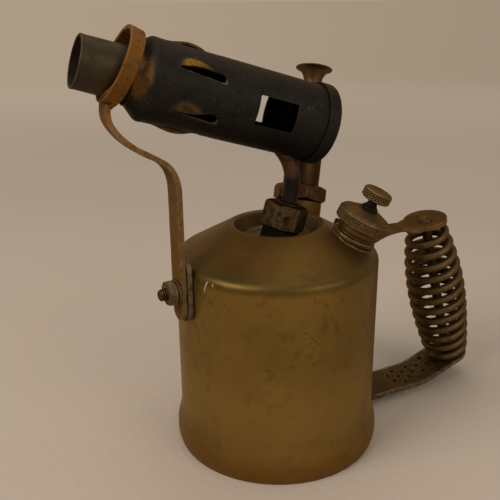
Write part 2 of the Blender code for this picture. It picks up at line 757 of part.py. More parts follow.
def helix(radius_at, start, end, curls, points_per_curl, straight):
    """Centre line of a wound wire along Z, whose ends turn and run straight along Z for one length."""
    steps = curls * points_per_curl
    low, high = start + straight, end - straight
    points = [Vector((radius_at(0), 0, start))]
    for k in range(steps + 1):
        share = k / steps
        turn = 2 * math.pi * curls * share
        radius = radius_at(share)
        points.append(Vector((radius * math.cos(turn), radius * math.sin(turn), low + (high - low) * share)))
    last = points[-1]
    points.append(Vector((last.x, last.y, end)))
    return points


def least_gap(label, points, wire_radius, points_per_curl):
    """Prints the least distance between a coil's turns, wire surface to wire surface."""
    least = math.inf
    for k, first in enumerate(points):
        for second in points[k + points_per_curl // 2 + 1:]:
            least = min(least, (first - second).length)
    print(f"{label}: least gap to itself {(least - 2 * wire_radius) * 1000:.2f} mm")


def make_pump(tank):
    """The pump: boss, collar, barrel, cap, plunger with its leather, and the check valve at its foot."""
    foot = Vector((PUMP_REACH, 0, cone_height(PUMP_REACH)))
    upward = Vector((math.sin(PUMP_LEAN), 0, math.cos(PUMP_LEAN)))
    axis = empty("pump_axis", foot, upward, PUMP_TURN)
    barrel_fit = BARREL_RADIUS + FIT_GAP
    tube(
        "pump_boss",
        PUMP_BOSS_RADIUS,
        barrel_fit,
        -PUMP_BOSS_SINK,
        PUMP_BOSS_RISE,
        TURNED_SEGMENTS,
        "tank_brass",
        axis,
    )
    cut(
        tank,
        cylinder(
            "pump_hole_cutter",
            PUMP_BOSS_RADIUS + FIT_GAP,
            -PUMP_BOSS_SINK - CUT_OVERRUN,
            PUMP_BOSS_RISE + CUT_OVERRUN,
            TURNED_SEGMENTS,
            None,
            axis,
        ),
    )
    collar_low = PUMP_BOSS_RISE + FIT_GAP
    collar_high = collar_low + PUMP_COLLAR_HEIGHT
    collar = prism("pump_collar", 6, PUMP_COLLAR_FLATS, collar_low, collar_high, "burnt_copper", axis)
    cut(
        collar,
        cylinder(
            "collar_bore_cutter",
            barrel_fit,
            collar_low - CUT_OVERRUN,
            collar_high + CUT_OVERRUN,
            TURNED_SEGMENTS,
            None,
            axis,
        ),
    )
    bore = BARREL_RADIUS - BARREL_WALL
    tube("pump_barrel", BARREL_RADIUS, bore, BARREL_BOTTOM, BARREL_TOP, TURNED_SEGMENTS, "burnt_copper", axis)

    cap_low = BARREL_TOP - PUMP_CAP_SKIRT
    cap_high = BARREL_TOP + FIT_GAP + PUMP_CAP_ROOF
    rod_fit = ROD_RADIUS + FIT_GAP
    cap_profile = [
        (rod_fit, cap_high),
        (PUMP_CAP_RADIUS - PUMP_CAP_ROUND, cap_high),
        (PUMP_CAP_RADIUS, cap_high - PUMP_CAP_ROUND),
        (PUMP_CAP_RADIUS, cap_low),
        (barrel_fit, cap_low),
        (barrel_fit, BARREL_TOP + FIT_GAP),
        (rod_fit, BARREL_TOP + FIT_GAP),
    ]
    turned("pump_cap", cap_profile, TURNED_SEGMENTS, "burnt_copper", axis, ring=True)

    seat_low = BARREL_BOTTOM
    seat_high = seat_low + VALVE_SEAT_HEIGHT
    tube(
        "valve_seat",
        bore - FIT_GAP,
        VALVE_HOLE_RADIUS,
        seat_low,
        seat_high,
        TURNED_SEGMENTS,
        "worn_brass",
        axis,
    )
    cage_top = seat_low - FIT_GAP
    cage_bottom = cage_top - VALVE_CAGE_HEIGHT
    cage_bore = VALVE_CAGE_RADIUS - VALVE_CAGE_WALL
    cage_profile = [
        (cage_bore, cage_top),
        (VALVE_CAGE_RADIUS, cage_top),
        (VALVE_CAGE_RADIUS, cage_bottom),
        (VALVE_CAGE_HOLE_RADIUS, cage_bottom),
        (VALVE_CAGE_HOLE_RADIUS, cage_bottom + VALVE_CAGE_WALL),
        (cage_bore, cage_bottom + VALVE_CAGE_WALL),
    ]
    turned("valve_cage", cage_profile, SMALL_SEGMENTS, "worn_brass", axis, ring=True)
    disc_top = cage_top
    disc_bottom = disc_top - VALVE_DISC_HEIGHT
    valve_profile = [
        (0, disc_top),
        (VALVE_DISC_RADIUS, disc_top),
        (VALVE_DISC_RADIUS, disc_bottom),
        (VALVE_STEM_RADIUS, disc_bottom),
        (VALVE_STEM_RADIUS, disc_bottom - VALVE_STEM_LENGTH),
        (0, disc_bottom - VALVE_STEM_LENGTH),
    ]
    turned("check_valve", valve_profile, SMALL_SEGMENTS, "worn_brass", axis)
    spring_low = cage_bottom + VALVE_CAGE_WALL + FIT_GAP
    spring_high = disc_bottom - FIT_GAP
    spring = helix(
        lambda share: VALVE_SPRING_RADIUS, spring_low, spring_high, VALVE_SPRING_CURLS, 9, VALVE_SPRING_WIRE
    )
    least_gap("check_spring", spring, VALVE_SPRING_WIRE / 2, 9)
    bar_along("check_spring", spring, VALVE_SPRING_WIRE / 2, 1, "dull_steel", axis)

    nut_low = seat_high + FIT_GAP
    nut_high = nut_low + PISTON_NUT_HEIGHT
    leather_low = nut_high + FIT_GAP - LEATHER_HEIGHT / 2
    leather_roof = nut_high + FIT_GAP
    leather_high = leather_roof + LEATHER_WALL
    leather_radius = bore - FIT_GAP
    leather_profile = [
        (rod_fit, leather_high),
        (leather_radius - LEATHER_WALL / 2, leather_high),
        (leather_radius, leather_high - LEATHER_WALL / 2),
        (leather_radius, leather_low),
        (leather_radius - LEATHER_WALL, leather_low),
        (leather_radius - LEATHER_WALL, leather_roof),
        (rod_fit, leather_roof),
    ]
    turned("pump_leather", leather_profile, TURNED_SEGMENTS, "leather", axis, ring=True)
    plate_low = leather_high + FIT_GAP
    tube(
        "piston_plate",
        PISTON_PLATE_RADIUS,
        rod_fit,
        plate_low,
        plate_low + PISTON_PLATE_HEIGHT,
        TURNED_SEGMENTS,
        "worn_brass",
        axis,
    )
    piston_nut = prism("piston_nut", 6, PISTON_NUT_FLATS, nut_low, nut_high, "worn_brass", axis)
    cut(
        piston_nut,
        cylinder(
            "piston_nut_cutter",
            rod_fit,
            nut_low - CUT_OVERRUN,
            nut_high + CUT_OVERRUN,
            SMALL_SEGMENTS,
            None,
            axis,
        ),
    )
    knob_low = cap_high + FIT_GAP
    knob_high = knob_low + KNOB_LENGTH
    rod_top = knob_high - KNOB_LENGTH / 3
    cylinder("pump_rod", ROD_RADIUS, nut_low, rod_top, SMALL_SEGMENTS, "dull_steel", axis)
    spread = KNOB_RADIUS - KNOB_NECK_RADIUS
    flare_height = KNOB_LENGTH * KNOB_FLARE_SHARE
    flare = []
    for k in range(FLARE_STEPS + 1):
        turn = math.pi / 2 * (1 - k / FLARE_STEPS)
        radius = KNOB_NECK_RADIUS + spread * (1 - math.cos(turn))
        height = knob_high - KNOB_RIM - flare_height * (1 - math.sin(turn))
        flare.append((radius, height))
    knob_profile = [
        (0, knob_high - KNOB_DISH),
        (KNOB_RADIUS - KNOB_RIM, knob_high),
        (KNOB_RADIUS, knob_high - KNOB_RIM / 2),
    ]
    knob_profile += flare
    knob_profile += [
        (KNOB_NECK_RADIUS, knob_low),
        (rod_fit, knob_low),
        (rod_fit, rod_top + FIT_GAP),
        (0, rod_top + FIT_GAP),
    ]
    turned("pump_knob", knob_profile, TURNED_SEGMENTS, "worn_brass", axis)


def make_filler(tank):
    """The filler neck on the cone, its screw cap with a gasket, and the air screw through the cap."""
    foot = Vector((FILLER_REACH, 0, cone_height(FILLER_REACH)))
    upward = Vector((math.sin(FILLER_LEAN), 0, math.cos(FILLER_LEAN)))
    axis = empty("filler_axis", foot, upward, FILLER_TURN)
    flange_top = NECK_LIFT + NECK_FLANGE_HEIGHT
    neck_profile = [
        (NECK_THREAD_RADIUS, NECK_HEIGHT),
        (NECK_THREAD_RADIUS, CAP_BAND_START),
        (NECK_RADIUS, CAP_BAND_START - FIT_GAP),
        (NECK_RADIUS, flange_top),
        (NECK_FLANGE_RADIUS, flange_top - NECK_FLANGE_HEIGHT / 3),
        (NECK_FLANGE_RADIUS, NECK_LIFT),
        (NECK_RADIUS, NECK_LIFT),
        (NECK_RADIUS, -NECK_SINK),
        (NECK_BORE, -NECK_SINK),
        (NECK_BORE, NECK_HEIGHT),
    ]
    turned("filler_neck", neck_profile, TURNED_SEGMENTS, "worn_brass", axis, ring=True)
    cut(
        tank,
        cylinder(
            "filler_hole_cutter",
            NECK_RADIUS + FIT_GAP,
            -NECK_SINK - CUT_OVERRUN,
            NECK_HEIGHT,
            TURNED_SEGMENTS,
            None,
            axis,
        ),
    )
    gasket_low = NECK_HEIGHT + FIT_GAP
    gasket_high = gasket_low + GASKET_HEIGHT
    cavity = NECK_RADIUS + FIT_GAP
    tube(
        "filler_gasket",
        NECK_THREAD_RADIUS,
        VENT_COLLAR_RADIUS,
        gasket_low,
        gasket_high,
        TURNED_SEGMENTS,
        "leather",
        axis,
    )
    roof = gasket_high + FIT_GAP
    band_low = CAP_BAND_START + FIT_GAP
    band_high = band_low + CAP_BAND_HEIGHT
    dome_top = band_high + CAP_DOME_HEIGHT
    stem_fit = VENT_STEM_RADIUS + FIT_GAP
    cap_profile = [
        (stem_fit, dome_top),
        (VENT_COLLAR_RADIUS + CAP_EDGE, dome_top),
        (CAP_DOME_RADIUS * DOME_TOP_SHARE, dome_top - CAP_DOME_HEIGHT * DOME_SLOPE_SHARE),
        (CAP_DOME_RADIUS, dome_top - CAP_DOME_HEIGHT * DOME_SIDE_SHARE),
        (CAP_DOME_RADIUS, band_high),
        (CAP_RADIUS - CAP_EDGE, band_high),
        (CAP_RADIUS, band_high - CAP_EDGE),
        (CAP_RADIUS, band_low + CAP_EDGE),
        (CAP_RADIUS - CAP_EDGE, band_low),
        (cavity, band_low),
        (cavity, roof - CAP_WALL),
        (NECK_THREAD_RADIUS + FIT_GAP, roof),
        (stem_fit, roof),
    ]
    turned("filler_cap", cap_profile, TURNED_SEGMENTS, "worn_brass", axis, ring=True)
    collar_low = dome_top + FIT_GAP
    collar_high = collar_low + VENT_COLLAR_HEIGHT
    knob_low = collar_high + VENT_STEM_RISE
    knob_high = knob_low + VENT_KNOB_HEIGHT
    stem_top = knob_high - VENT_KNOB_HEIGHT / 3
    point = roof - GASKET_HEIGHT
    stem_profile = [
        (0, stem_top),
        (VENT_STEM_RADIUS, stem_top),
        (VENT_STEM_RADIUS, collar_high + VENT_COLLAR_HEIGHT),
        (VENT_COLLAR_RADIUS, collar_high),
        (VENT_COLLAR_RADIUS, collar_low),
        (VENT_STEM_RADIUS, collar_low),
        (VENT_STEM_RADIUS, point),
        (0, point - VENT_POINT),
    ]
    turned("air_screw_stem", stem_profile, SMALL_SEGMENTS, "black_steel", axis)
    knob_profile = [
        (0, knob_high),
        (VENT_KNOB_RADIUS - VENT_KNOB_EDGE, knob_high),
        (VENT_KNOB_RADIUS, knob_high - VENT_KNOB_EDGE),
        (VENT_KNOB_RADIUS, knob_low + VENT_KNOB_EDGE),
        (VENT_KNOB_RADIUS - VENT_KNOB_EDGE, knob_low),
        (stem_fit, knob_low),
        (stem_fit, stem_top + FIT_GAP),
        (0, stem_top + FIT_GAP),
    ]
    turned("air_screw_knob", knob_profile, TURNED_SEGMENTS, "worn_brass", axis)


def blend(value, low, high):
    """A smooth step from 0 at low to 1 at high."""
    share = min(max((value - low) / (high - low), 0.0), 1.0)
    return share * share * (3 - 2 * share)


def handle_half_width(reach):
    """Half the top bracket's width at a distance from the tank's axis: foot, waist and round end."""
    end = HANDLE_END_RADIUS
    disc_start = GRIP_TOP_REACH - end * HANDLE_END_SHARE
    if reach > disc_start:
        from_centre = (reach - GRIP_TOP_REACH) / math.cos(HANDLE_END_TILT)
        return math.sqrt(max(end ** 2 - from_centre ** 2, 0))
    if reach > HANDLE_WAIST_PLACE:
        widest = math.sqrt(end ** 2 - (end * HANDLE_END_SHARE) ** 2)
        share = blend(reach, HANDLE_WAIST_PLACE, disc_start)
        return HANDLE_WAIST_HALF_WIDTH + (widest - HANDLE_WAIST_HALF_WIDTH) * share
    if reach > HANDLE_FOOT_END:
        share = (reach - HANDLE_FOOT_END) / (HANDLE_WAIST_PLACE - HANDLE_FOOT_END)
        return HANDLE_WAIST_HALF_WIDTH + (HANDLE_FOOT_HALF_WIDTH - HANDLE_WAIST_HALF_WIDTH) * (1 - share) ** 2
    share = (reach - HANDLE_FOOT_START) / (HANDLE_FOOT_END - HANDLE_FOOT_START)
    corner = HANDLE_FOOT_CORNER_SHARE
    return HANDLE_FOOT_HALF_WIDTH * (corner + (1 - corner) * math.sqrt(max(share, 0)))


def handle_point(reach, side):
    """A point of the top bracket's middle surface, from its foot on the tank's shoulder to its level arm."""
    offset = HANDLE_PLATE_THICKNESS / 2 + FIT_GAP
    centre_radius, centre_height = shoulder_centre()
    radius = SHOULDER_ROUND + offset
    distance = math.hypot(reach, side)
    cone = cone_height(distance) + offset / math.cos(CONE_SLOPE)
    past = (distance - centre_radius - radius * math.sin(CONE_SLOPE)) / math.cos(CONE_SLOPE)
    wrapped = Vector((reach, side, cone))
    if past > 0:
        turn = min(past / radius, math.pi / 2 - CONE_SLOPE)
        wrapped *= (centre_radius + radius * math.sin(CONE_SLOPE + turn)) / distance
        wrapped.z = centre_height + radius * math.cos(CONE_SLOPE + turn) - (past - turn * radius)
    above = cone - HANDLE_ARM_HEIGHT
    arm_height = HANDLE_ARM_HEIGHT + (above + math.hypot(above, HANDLE_BEND_SOFTNESS)) / 2
    rise = (reach - GRIP_TOP_REACH) * math.tan(HANDLE_END_TILT) + GRIP_TOP_HEIGHT - HANDLE_ARM_HEIGHT
    rise *= blend(reach, HANDLE_WAIST_PLACE, GRIP_TOP_REACH - HANDLE_END_RADIUS * HANDLE_END_SHARE)
    arm = Vector((reach, side, arm_height + rise))
    lift = blend(reach - abs(side) * HANDLE_LIFT_SPREAD, HANDLE_LIFT_START, HANDLE_LIFT_END)
    return wrapped.lerp(arm, lift)


def make_handle(tank, base_plate):
    """The handle: top bracket, lower strap riveted under the base, the rod, and the wound wire grip."""
    mesh = bpy.data.meshes.new("handle_top_bracket")
    shape = bmesh.new()
    bmesh.ops.create_grid(shape, x_segments=BRACKET_STEPS_ALONG, y_segments=BRACKET_STEPS_ACROSS, size=1)
    far_end = GRIP_TOP_REACH + HANDLE_END_RADIUS * HANDLE_TIP_SHARE * math.cos(HANDLE_END_TILT)
    for vertex in shape.verts:
        share = (vertex.co.x + 1) / 2
        reach = HANDLE_FOOT_START + (far_end - HANDLE_FOOT_START) * share
        side = vertex.co.y * handle_half_width(reach)
        vertex.co = handle_point(reach, side)
    shape.to_mesh(mesh)
    shape.free()
    bracket = add_object("handle_top_bracket", mesh, "worn_brass")
    wall = bracket.modifiers.new("plate", "SOLIDIFY")
    wall.thickness = HANDLE_PLATE_THICKNESS
    wall.offset = 0
    wall.use_even_offset = True

    strap_centre = LOWER_STRAP_HEIGHT + LOWER_STRAP_THICKNESS / 2
    bend_angle = LOWER_STRAP_RISE
    bend_centre = (LOWER_STRAP_BEND_PLACE, strap_centre + LOWER_STRAP_BEND_RADIUS)
    half = LOWER_STRAP_THICKNESS / 2
    right = -math.pi / 2
    rise_start = (
        LOWER_STRAP_BEND_PLACE + LOWER_STRAP_BEND_RADIUS * math.sin(bend_angle),
        bend_centre[1] - LOWER_STRAP_BEND_RADIUS * math.cos(bend_angle),
    )
    grip_bottom = Vector((
        GRIP_BOTTOM_REACH,
        0,
        rise_start[1] + (GRIP_BOTTOM_REACH - rise_start[0]) * math.tan(bend_angle),
    ))
    end_centre = (grip_bottom.x - rise_start[0]) / math.cos(bend_angle)
    end_reach = end_centre + LOWER_STRAP_WIDTH / 2
    slope = Vector((math.cos(bend_angle), math.sin(bend_angle)))
    normal = Vector((-slope.y, slope.x))
    end = Vector(rise_start) + slope * end_reach
    low_side = arc(bend_centre, LOWER_STRAP_BEND_RADIUS + half, right, right + bend_angle, 4)
    high_side = arc(bend_centre, LOWER_STRAP_BEND_RADIUS - half, right, right + bend_angle, 4)
    outline = [(LOWER_STRAP_START, strap_centre - half)] + low_side
    outline += [tuple(end - normal * half), tuple(end + normal * half)]
    outline += high_side[::-1] + [(LOWER_STRAP_START, strap_centre + half)]
    upright = Matrix.Rotation(math.pi / 2, 4, "X")
    strap = flat_outline("handle_lower_strap", outline, LOWER_STRAP_WIDTH, "dark_bronze", None, upright)

    top_centre = Vector((GRIP_TOP_REACH, 0, GRIP_TOP_HEIGHT))
    axis = empty("grip_axis", grip_bottom, top_centre - grip_bottom)
    length = (top_centre - grip_bottom).length
    end_place = Matrix.Translation(grip_bottom) @ Matrix.Rotation(-bend_angle, 4, "Y")
    cut(strap, round_end_cutter("strap_end_cutter", LOWER_STRAP_WIDTH / 2, end_place))
    hole_rows = []
    for column in range(STRAP_HOLE_COLUMNS):
        reach = STRAP_HOLE_START + STRAP_HOLE_PITCH * column
        rows = (-1, 0, 1) if column % 2 else (-0.5, 0.5)
        hole_rows += [(reach, row * STRAP_HOLE_SPREAD) for row in rows]
    drill_height = grip_bottom.z + CUT_OVERRUN
    drills = bpy.data.meshes.new("strap_holes")
    shape = bmesh.new()
    for reach, side in hole_rows:
        place = Matrix.Translation((reach, side, drill_height / 2 - CUT_OVERRUN / 2))
        bmesh.ops.create_cone(
            shape,
            cap_ends=True,
            segments=8,
            radius1=STRAP_HOLE_RADIUS,
            radius2=STRAP_HOLE_RADIUS,
            depth=drill_height + CUT_OVERRUN,
            matrix=place,
        )
    shape.to_mesh(drills)
    shape.free()
    cut(strap, add_object("strap_holes_cutter", drills, None))

    slot_half = LOWER_STRAP_WIDTH / 2 + FIT_GAP
    slot_top = LOWER_STRAP_HEIGHT + LOWER_STRAP_THICKNESS + FIT_GAP
    cut(
        tank,
        block(
            "strap_slot_cutter",
            (LOWER_STRAP_START, -slot_half, -CUT_OVERRUN),
            (SKIRT_RADIUS + CUT_OVERRUN, slot_half, slot_top),
            None,
        ),
    )
    for k, side in enumerate((-STRAP_RIVET_SPREAD, STRAP_RIVET_SPREAD)):
        low = LOWER_STRAP_HEIGHT - FIT_GAP
        high = BASE_PLATE_HEIGHT + BASE_PLATE_THICKNESS + FIT_GAP
        profile = [
            (0, high + RIVET_HEAD_HEIGHT),
            (RIVET_HEAD_RADIUS * RIVET_FACE_SHARE, high + RIVET_HEAD_HEIGHT),
            (RIVET_HEAD_RADIUS, high),
            (RIVET_RADIUS, high),
            (RIVET_RADIUS, low),
            (RIVET_HEAD_RADIUS, low),
            (RIVET_HEAD_RADIUS * RIVET_FACE_SHARE, low - RIVET_HEAD_HEIGHT),
            (0, low - RIVET_HEAD_HEIGHT),
        ]
        place = (STRAP_RIVET_REACH, side, 0)
        turned(f"strap_rivet_{k + 1}", profile, SMALL_SEGMENTS, "worn_brass", None, place)
        drill = cylinder(
            f"rivet_hole_cutter_{k + 1}",
            RIVET_RADIUS + FIT_GAP,
            low - CUT_OVERRUN,
            high + CUT_OVERRUN,
            SMALL_SEGMENTS,
            None,
            None,
            place,
        )
        cut(strap, drill)
        cut(base_plate, drill)

    plate_half = HANDLE_PLATE_THICKNESS / 2 + FIT_GAP
    lean = math.atan2(top_centre.x - grip_bottom.x, top_centre.z - grip_bottom.z)
    top_face = length + (plate_half + abs(math.sin(lean)) * GRIP_ROD_HEAD_RADIUS)
    low_face = -(half + FIT_GAP)
    rod_profile = [
        (0, top_face + GRIP_ROD_HEAD_HEIGHT),
        (GRIP_ROD_HEAD_RADIUS * RIVET_FACE_SHARE, top_face + GRIP_ROD_HEAD_HEIGHT),
        (GRIP_ROD_HEAD_RADIUS, top_face),
        (GRIP_ROD_RADIUS, top_face),
        (GRIP_ROD_RADIUS, low_face),
        (GRIP_ROD_HEAD_RADIUS, low_face),
        (GRIP_ROD_HEAD_RADIUS * RIVET_FACE_SHARE, low_face - GRIP_ROD_HEAD_HEIGHT),
        (0, low_face - GRIP_ROD_HEAD_HEIGHT),
    ]
    turned("grip_rod", rod_profile, SMALL_SEGMENTS, "dark_bronze", axis)
    drill = cylinder(
        "grip_rod_cutter",
        GRIP_ROD_RADIUS + FIT_GAP,
        low_face - CUT_OVERRUN,
        top_face + CUT_OVERRUN,
        SMALL_SEGMENTS,
        None,
        axis,
    )
    cut(strap, drill)
    cut(bracket, drill)

    def grip_radius(share):
        """Radius of the grip's centre line: barrel shaped."""
        end = GRIP_BOTTOM_RADIUS + (GRIP_TOP_RADIUS - GRIP_BOTTOM_RADIUS) * share
        return end + (GRIP_MIDDLE_RADIUS - end) * math.sin(math.pi * share) ** GRIP_FULLNESS

    coil_low = half + FIT_GAP
    coil_high = length - plate_half + GRIP_TOP_SPARE
    coil = helix(grip_radius, coil_low, coil_high, GRIP_CURLS, GRIP_POINTS_PER_CURL, 2 * GRIP_WIRE_RADIUS)
    least_gap("grip_coil", coil, GRIP_WIRE_RADIUS, GRIP_POINTS_PER_CURL)
    bar_along("grip_coil", coil, GRIP_WIRE_RADIUS, 1, "dark_bronze", axis)


def stay_centre_line():
    """The stay's centre line in the XZ plane, from its lower end up to the hoop."""
    wall = TANK_RADIUS + FIT_GAP + STAY_PLATE_THICKNESS + FIT_GAP + STAY_THICKNESS / 2
    hoop = hoop_centre()
    lean = BURNER_RISE + STAY_HOOP_LEAN
    reach = STAY_HOOP_INNER + STAY_HOOP_THICKNESS / 2
    foot = Vector((-hoop.x + reach * math.sin(lean), hoop.z - reach * math.cos(lean)))
    rise = foot.y - STAY_STRAIGHT_TOP
    out = foot.x - wall
    shares = (
        (0.00, 0.00), (0.00, 0.15), (0.03, 0.25), (0.09, 0.33), (0.19, 0.39), (0.34, 0.445), (0.60, 0.535),
        (0.78, 0.62), (0.91, 0.71), (1.00, 0.81), (1.02, 0.90), (1.00, 1.00),
    )
    points = [(-wall, STAY_BOLT_HEIGHT - STAY_END_DROP), (-wall, (STAY_BOLT_HEIGHT + STAY_STRAIGHT_TOP) / 2)]
    points += [(-wall - out * outward, STAY_STRAIGHT_TOP + rise * upward) for outward, upward in shares]
    return points


def hoop_centre():
    """Centre of the stay's hoop, before the burner's turn about the tank."""
    forward = Vector((-math.cos(BURNER_RISE), 0, math.sin(BURNER_RISE)))
    upward = Vector((math.sin(BURNER_RISE), 0, math.cos(BURNER_RISE)))
    rear = Vector((BURNER_REACH, 0, BURNER_HEIGHT))
    return rear + forward * STAY_HOOP_PLACE + upward * STAY_HOOP_LIFT


def offset_outline(points, half):
    """A closed outline at half a thickness to each side of a line of points."""
    left, right = [], []
    for k, point in enumerate(points):
        before = Vector(points[max(k - 1, 0)])
        after = Vector(points[min(k + 1, len(points) - 1)])
        along = (after - before).normalized()
        side = Vector((-along.y, along.x)) * half
        left.append(tuple(Vector(point) + side))
        right.append(tuple(Vector(point) - side))
    return left + right[::-1]


def make_stay():
    """The burner stay: backing plate on the tank, strap with a hoop, stud, washer and nut."""
    outline = offset_outline(stay_centre_line(), STAY_THICKNESS / 2)
    upright = Matrix.Rotation(math.pi / 2, 4, "X")
    strap = flat_outline("burner_stay", outline, STAY_WIDTH, "rusty_steel", None, upright)
    foot_height = hoop_centre().z - STAY_HOOP_INNER
    for vertex in strap.data.vertices:
        twist = blend(vertex.co.z, STAY_STRAIGHT_TOP, foot_height)
        turn = STAY_TURN + (BURNER_TURN - STAY_TURN) * twist
        vertex.co = Matrix.Rotation(turn, 3, "Z") @ vertex.co
    lean = BURNER_RISE + STAY_HOOP_LEAN
    hoop_axis = empty(
        "stay_hoop_axis", hoop_centre(), Vector((-math.cos(lean), 0, math.sin(lean))), BURNER_TURN
    )
    hoop = tube(
        "stay_hoop",
        STAY_HOOP_INNER + STAY_HOOP_THICKNESS,
        STAY_HOOP_INNER,
        -STAY_HOOP_WIDTH / 2,
        STAY_HOOP_WIDTH / 2,
        JACKET_SEGMENTS,
        None,
        hoop_axis,
    )
    combine(strap, hoop, "UNION")
    end_height = STAY_BOLT_HEIGHT - STAY_END_DROP + STAY_WIDTH / 2
    end_place = Matrix.Rotation(STAY_TURN, 4, "Z") @ Matrix.Translation((-TANK_RADIUS, 0, end_height))
    end_place = end_place @ Matrix.Rotation(math.pi / 2, 4, "Y")
    cut(strap, round_end_cutter("stay_end_cutter", STAY_WIDTH / 2, end_place))

    bolt_axis = empty("stay_bolt_axis", Vector((0, 0, STAY_BOLT_HEIGHT)), Vector((-1, 0, 0)), STAY_TURN)
    plate_low = TANK_RADIUS + FIT_GAP
    strap_low = plate_low + STAY_PLATE_THICKNESS + FIT_GAP
    washer_low = strap_low + STAY_THICKNESS + FIT_GAP
    nut_low = washer_low + WASHER_THICKNESS + FIT_GAP
    nut_high = nut_low + STAY_NUT_HEIGHT
    half = STAY_PLATE_WIDTH / 2
    plate_outline = arc((STAY_PLATE_TOP - half, 0), half, -math.pi / 2, math.pi / 2, END_STEPS)
    plate_outline += arc((STAY_PLATE_BOTTOM + half, 0), half, math.pi / 2, math.pi * 1.5, END_STEPS)
    turned_out = Matrix.Rotation(STAY_TURN, 4, "Z")
    middle = Matrix.Translation((-plate_low - STAY_PLATE_THICKNESS / 2, 0, 0))
    standing = turned_out @ middle @ Matrix.Rotation(-math.pi / 2, 4, "Y")
    plate = flat_outline(
        "stay_backing_plate", plate_outline, STAY_PLATE_THICKNESS, "dull_steel", None, standing
    )
    drill = cylinder(
        "stay_bolt_cutter",
        STAY_BOLT_RADIUS + FIT_GAP,
        TANK_RADIUS - CUT_OVERRUN,
        STAY_BOLT_REACH + CUT_OVERRUN,
        SMALL_SEGMENTS,
        None,
        bolt_axis,
    )
    cylinder(
        "stay_stud",
        STAY_BOLT_RADIUS,
        plate_low,
        STAY_BOLT_REACH,
        SMALL_SEGMENTS,
        "rusty_steel",
        bolt_axis,
    )
    tube(
        "stay_washer",
        WASHER_RADIUS,
        STAY_BOLT_RADIUS + FIT_GAP,
        washer_low,
        washer_low + WASHER_THICKNESS,
        TURNED_SEGMENTS,
        "dull_steel",
        bolt_axis,
    )
    nut = prism("stay_nut", 6, STAY_NUT_FLATS, nut_low, nut_high, "dull_steel", bolt_axis, math.radians(10))
    for piece in (plate, strap, nut):
        cut(piece, drill)


def main():
    """Builds the whole lamp."""
    start_scene()
    tank, base_plate = make_tank()
    burner_axis, gland_axis = burner_frame()
    make_burner(burner_axis, gland_axis, tank)
    make_pump(tank)
    make_filler(tank)
    make_handle(tank, base_plate)
    make_stay()
    bpy.context.view_layer.update()


main()
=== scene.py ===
"""Dresses a paraffin blow lamp: smooth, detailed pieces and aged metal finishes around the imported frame.

Units are metres and +Z is up. +X runs from the tank towards the handle, and the burner fires towards -X.
Sizes are taken from the tank's own axis, which the frame gives.
"""

import logging
import math
from dataclasses import dataclass
from enum import Enum
from typing import Callable, Sequence, Union

import bmesh
import bpy
from mathutils import Matrix, Vector, noise


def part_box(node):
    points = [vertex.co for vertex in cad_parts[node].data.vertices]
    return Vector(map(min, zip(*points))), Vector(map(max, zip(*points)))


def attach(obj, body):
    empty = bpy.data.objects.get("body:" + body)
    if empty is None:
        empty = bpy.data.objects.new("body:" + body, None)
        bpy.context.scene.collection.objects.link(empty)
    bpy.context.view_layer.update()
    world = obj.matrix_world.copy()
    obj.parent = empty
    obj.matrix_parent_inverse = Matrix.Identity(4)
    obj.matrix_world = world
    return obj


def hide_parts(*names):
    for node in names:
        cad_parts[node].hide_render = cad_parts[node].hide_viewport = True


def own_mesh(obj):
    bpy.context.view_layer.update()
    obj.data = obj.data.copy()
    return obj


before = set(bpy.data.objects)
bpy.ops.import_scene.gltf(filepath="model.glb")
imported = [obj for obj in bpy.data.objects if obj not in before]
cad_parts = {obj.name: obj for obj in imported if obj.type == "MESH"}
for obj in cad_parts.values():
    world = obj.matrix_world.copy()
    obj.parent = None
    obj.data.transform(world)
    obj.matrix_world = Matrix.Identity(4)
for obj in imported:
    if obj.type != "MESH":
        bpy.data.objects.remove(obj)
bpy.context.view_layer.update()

log = logging.getLogger("blow_lamp")

Colour = Triple = tuple[float, float, float]
Profile = list[tuple[float, float]]
Points = list[Vector]
Corners = list[tuple[float, float, float]]

FIT_GAP = 0.0003
OVERRUN = 0.004
FINE, EDGE, SOFT = 0.0002, 0.0003, 0.0004
MERGE_DISTANCE = 0.000002
UPRIGHT = math.pi / 2
FULL_TURN = 2 * math.pi
ORIGIN: Triple = (0.0, 0.0, 0.0)
EVEN: Triple = (1.0, 1.0, 1.0)


class Body(Enum):
    """The bodies of the frame."""

    LAMP = "lamp"
    PLUNGER = "plunger"
    GASKET = "filler_gasket"
    CAP = "filler_cap"
    AIR_SCREW = "air_screw"
    VALVE = "check_valve"


class Slot(Enum):
    """The record's material slots."""

    TANK = "tank_brass"
    WORN = "worn_brass"
    BURNT = "burnt_steel"
    MUZZLE = "muzzle_steel"
    COPPER = "burnt_copper"
    RUST = "rusty_steel"
    STEEL = "dull_steel"
    BRONZE = "dark_bronze"
    BLACK = "black_steel"
    LEATHER = "leather"


class Segments(Enum):
    """How many steps a turned piece has around its axis."""

    LARGE = 160
    MIDDLE = 96
    SMALL = 48
    KNURL = 384


def _operator(operation: str, swapped: bool = False) -> Callable[["Signal", "Term"], "Signal"]:
    """Makes an operator of Signal.

    Args:
        operation: the operation of its Math node.
        swapped: whether the other term stands on the left.

    Returns:
        The method that adds the node.
    """

    def method(signal: "Signal", other: "Term") -> "Signal":
        """One Math node on the signal and another term."""
        first, second = (other, signal) if swapped else (signal, other)
        return signal.shader.add("ShaderNodeMath", {"operation": operation}, {0: first, 1: second})

    return method


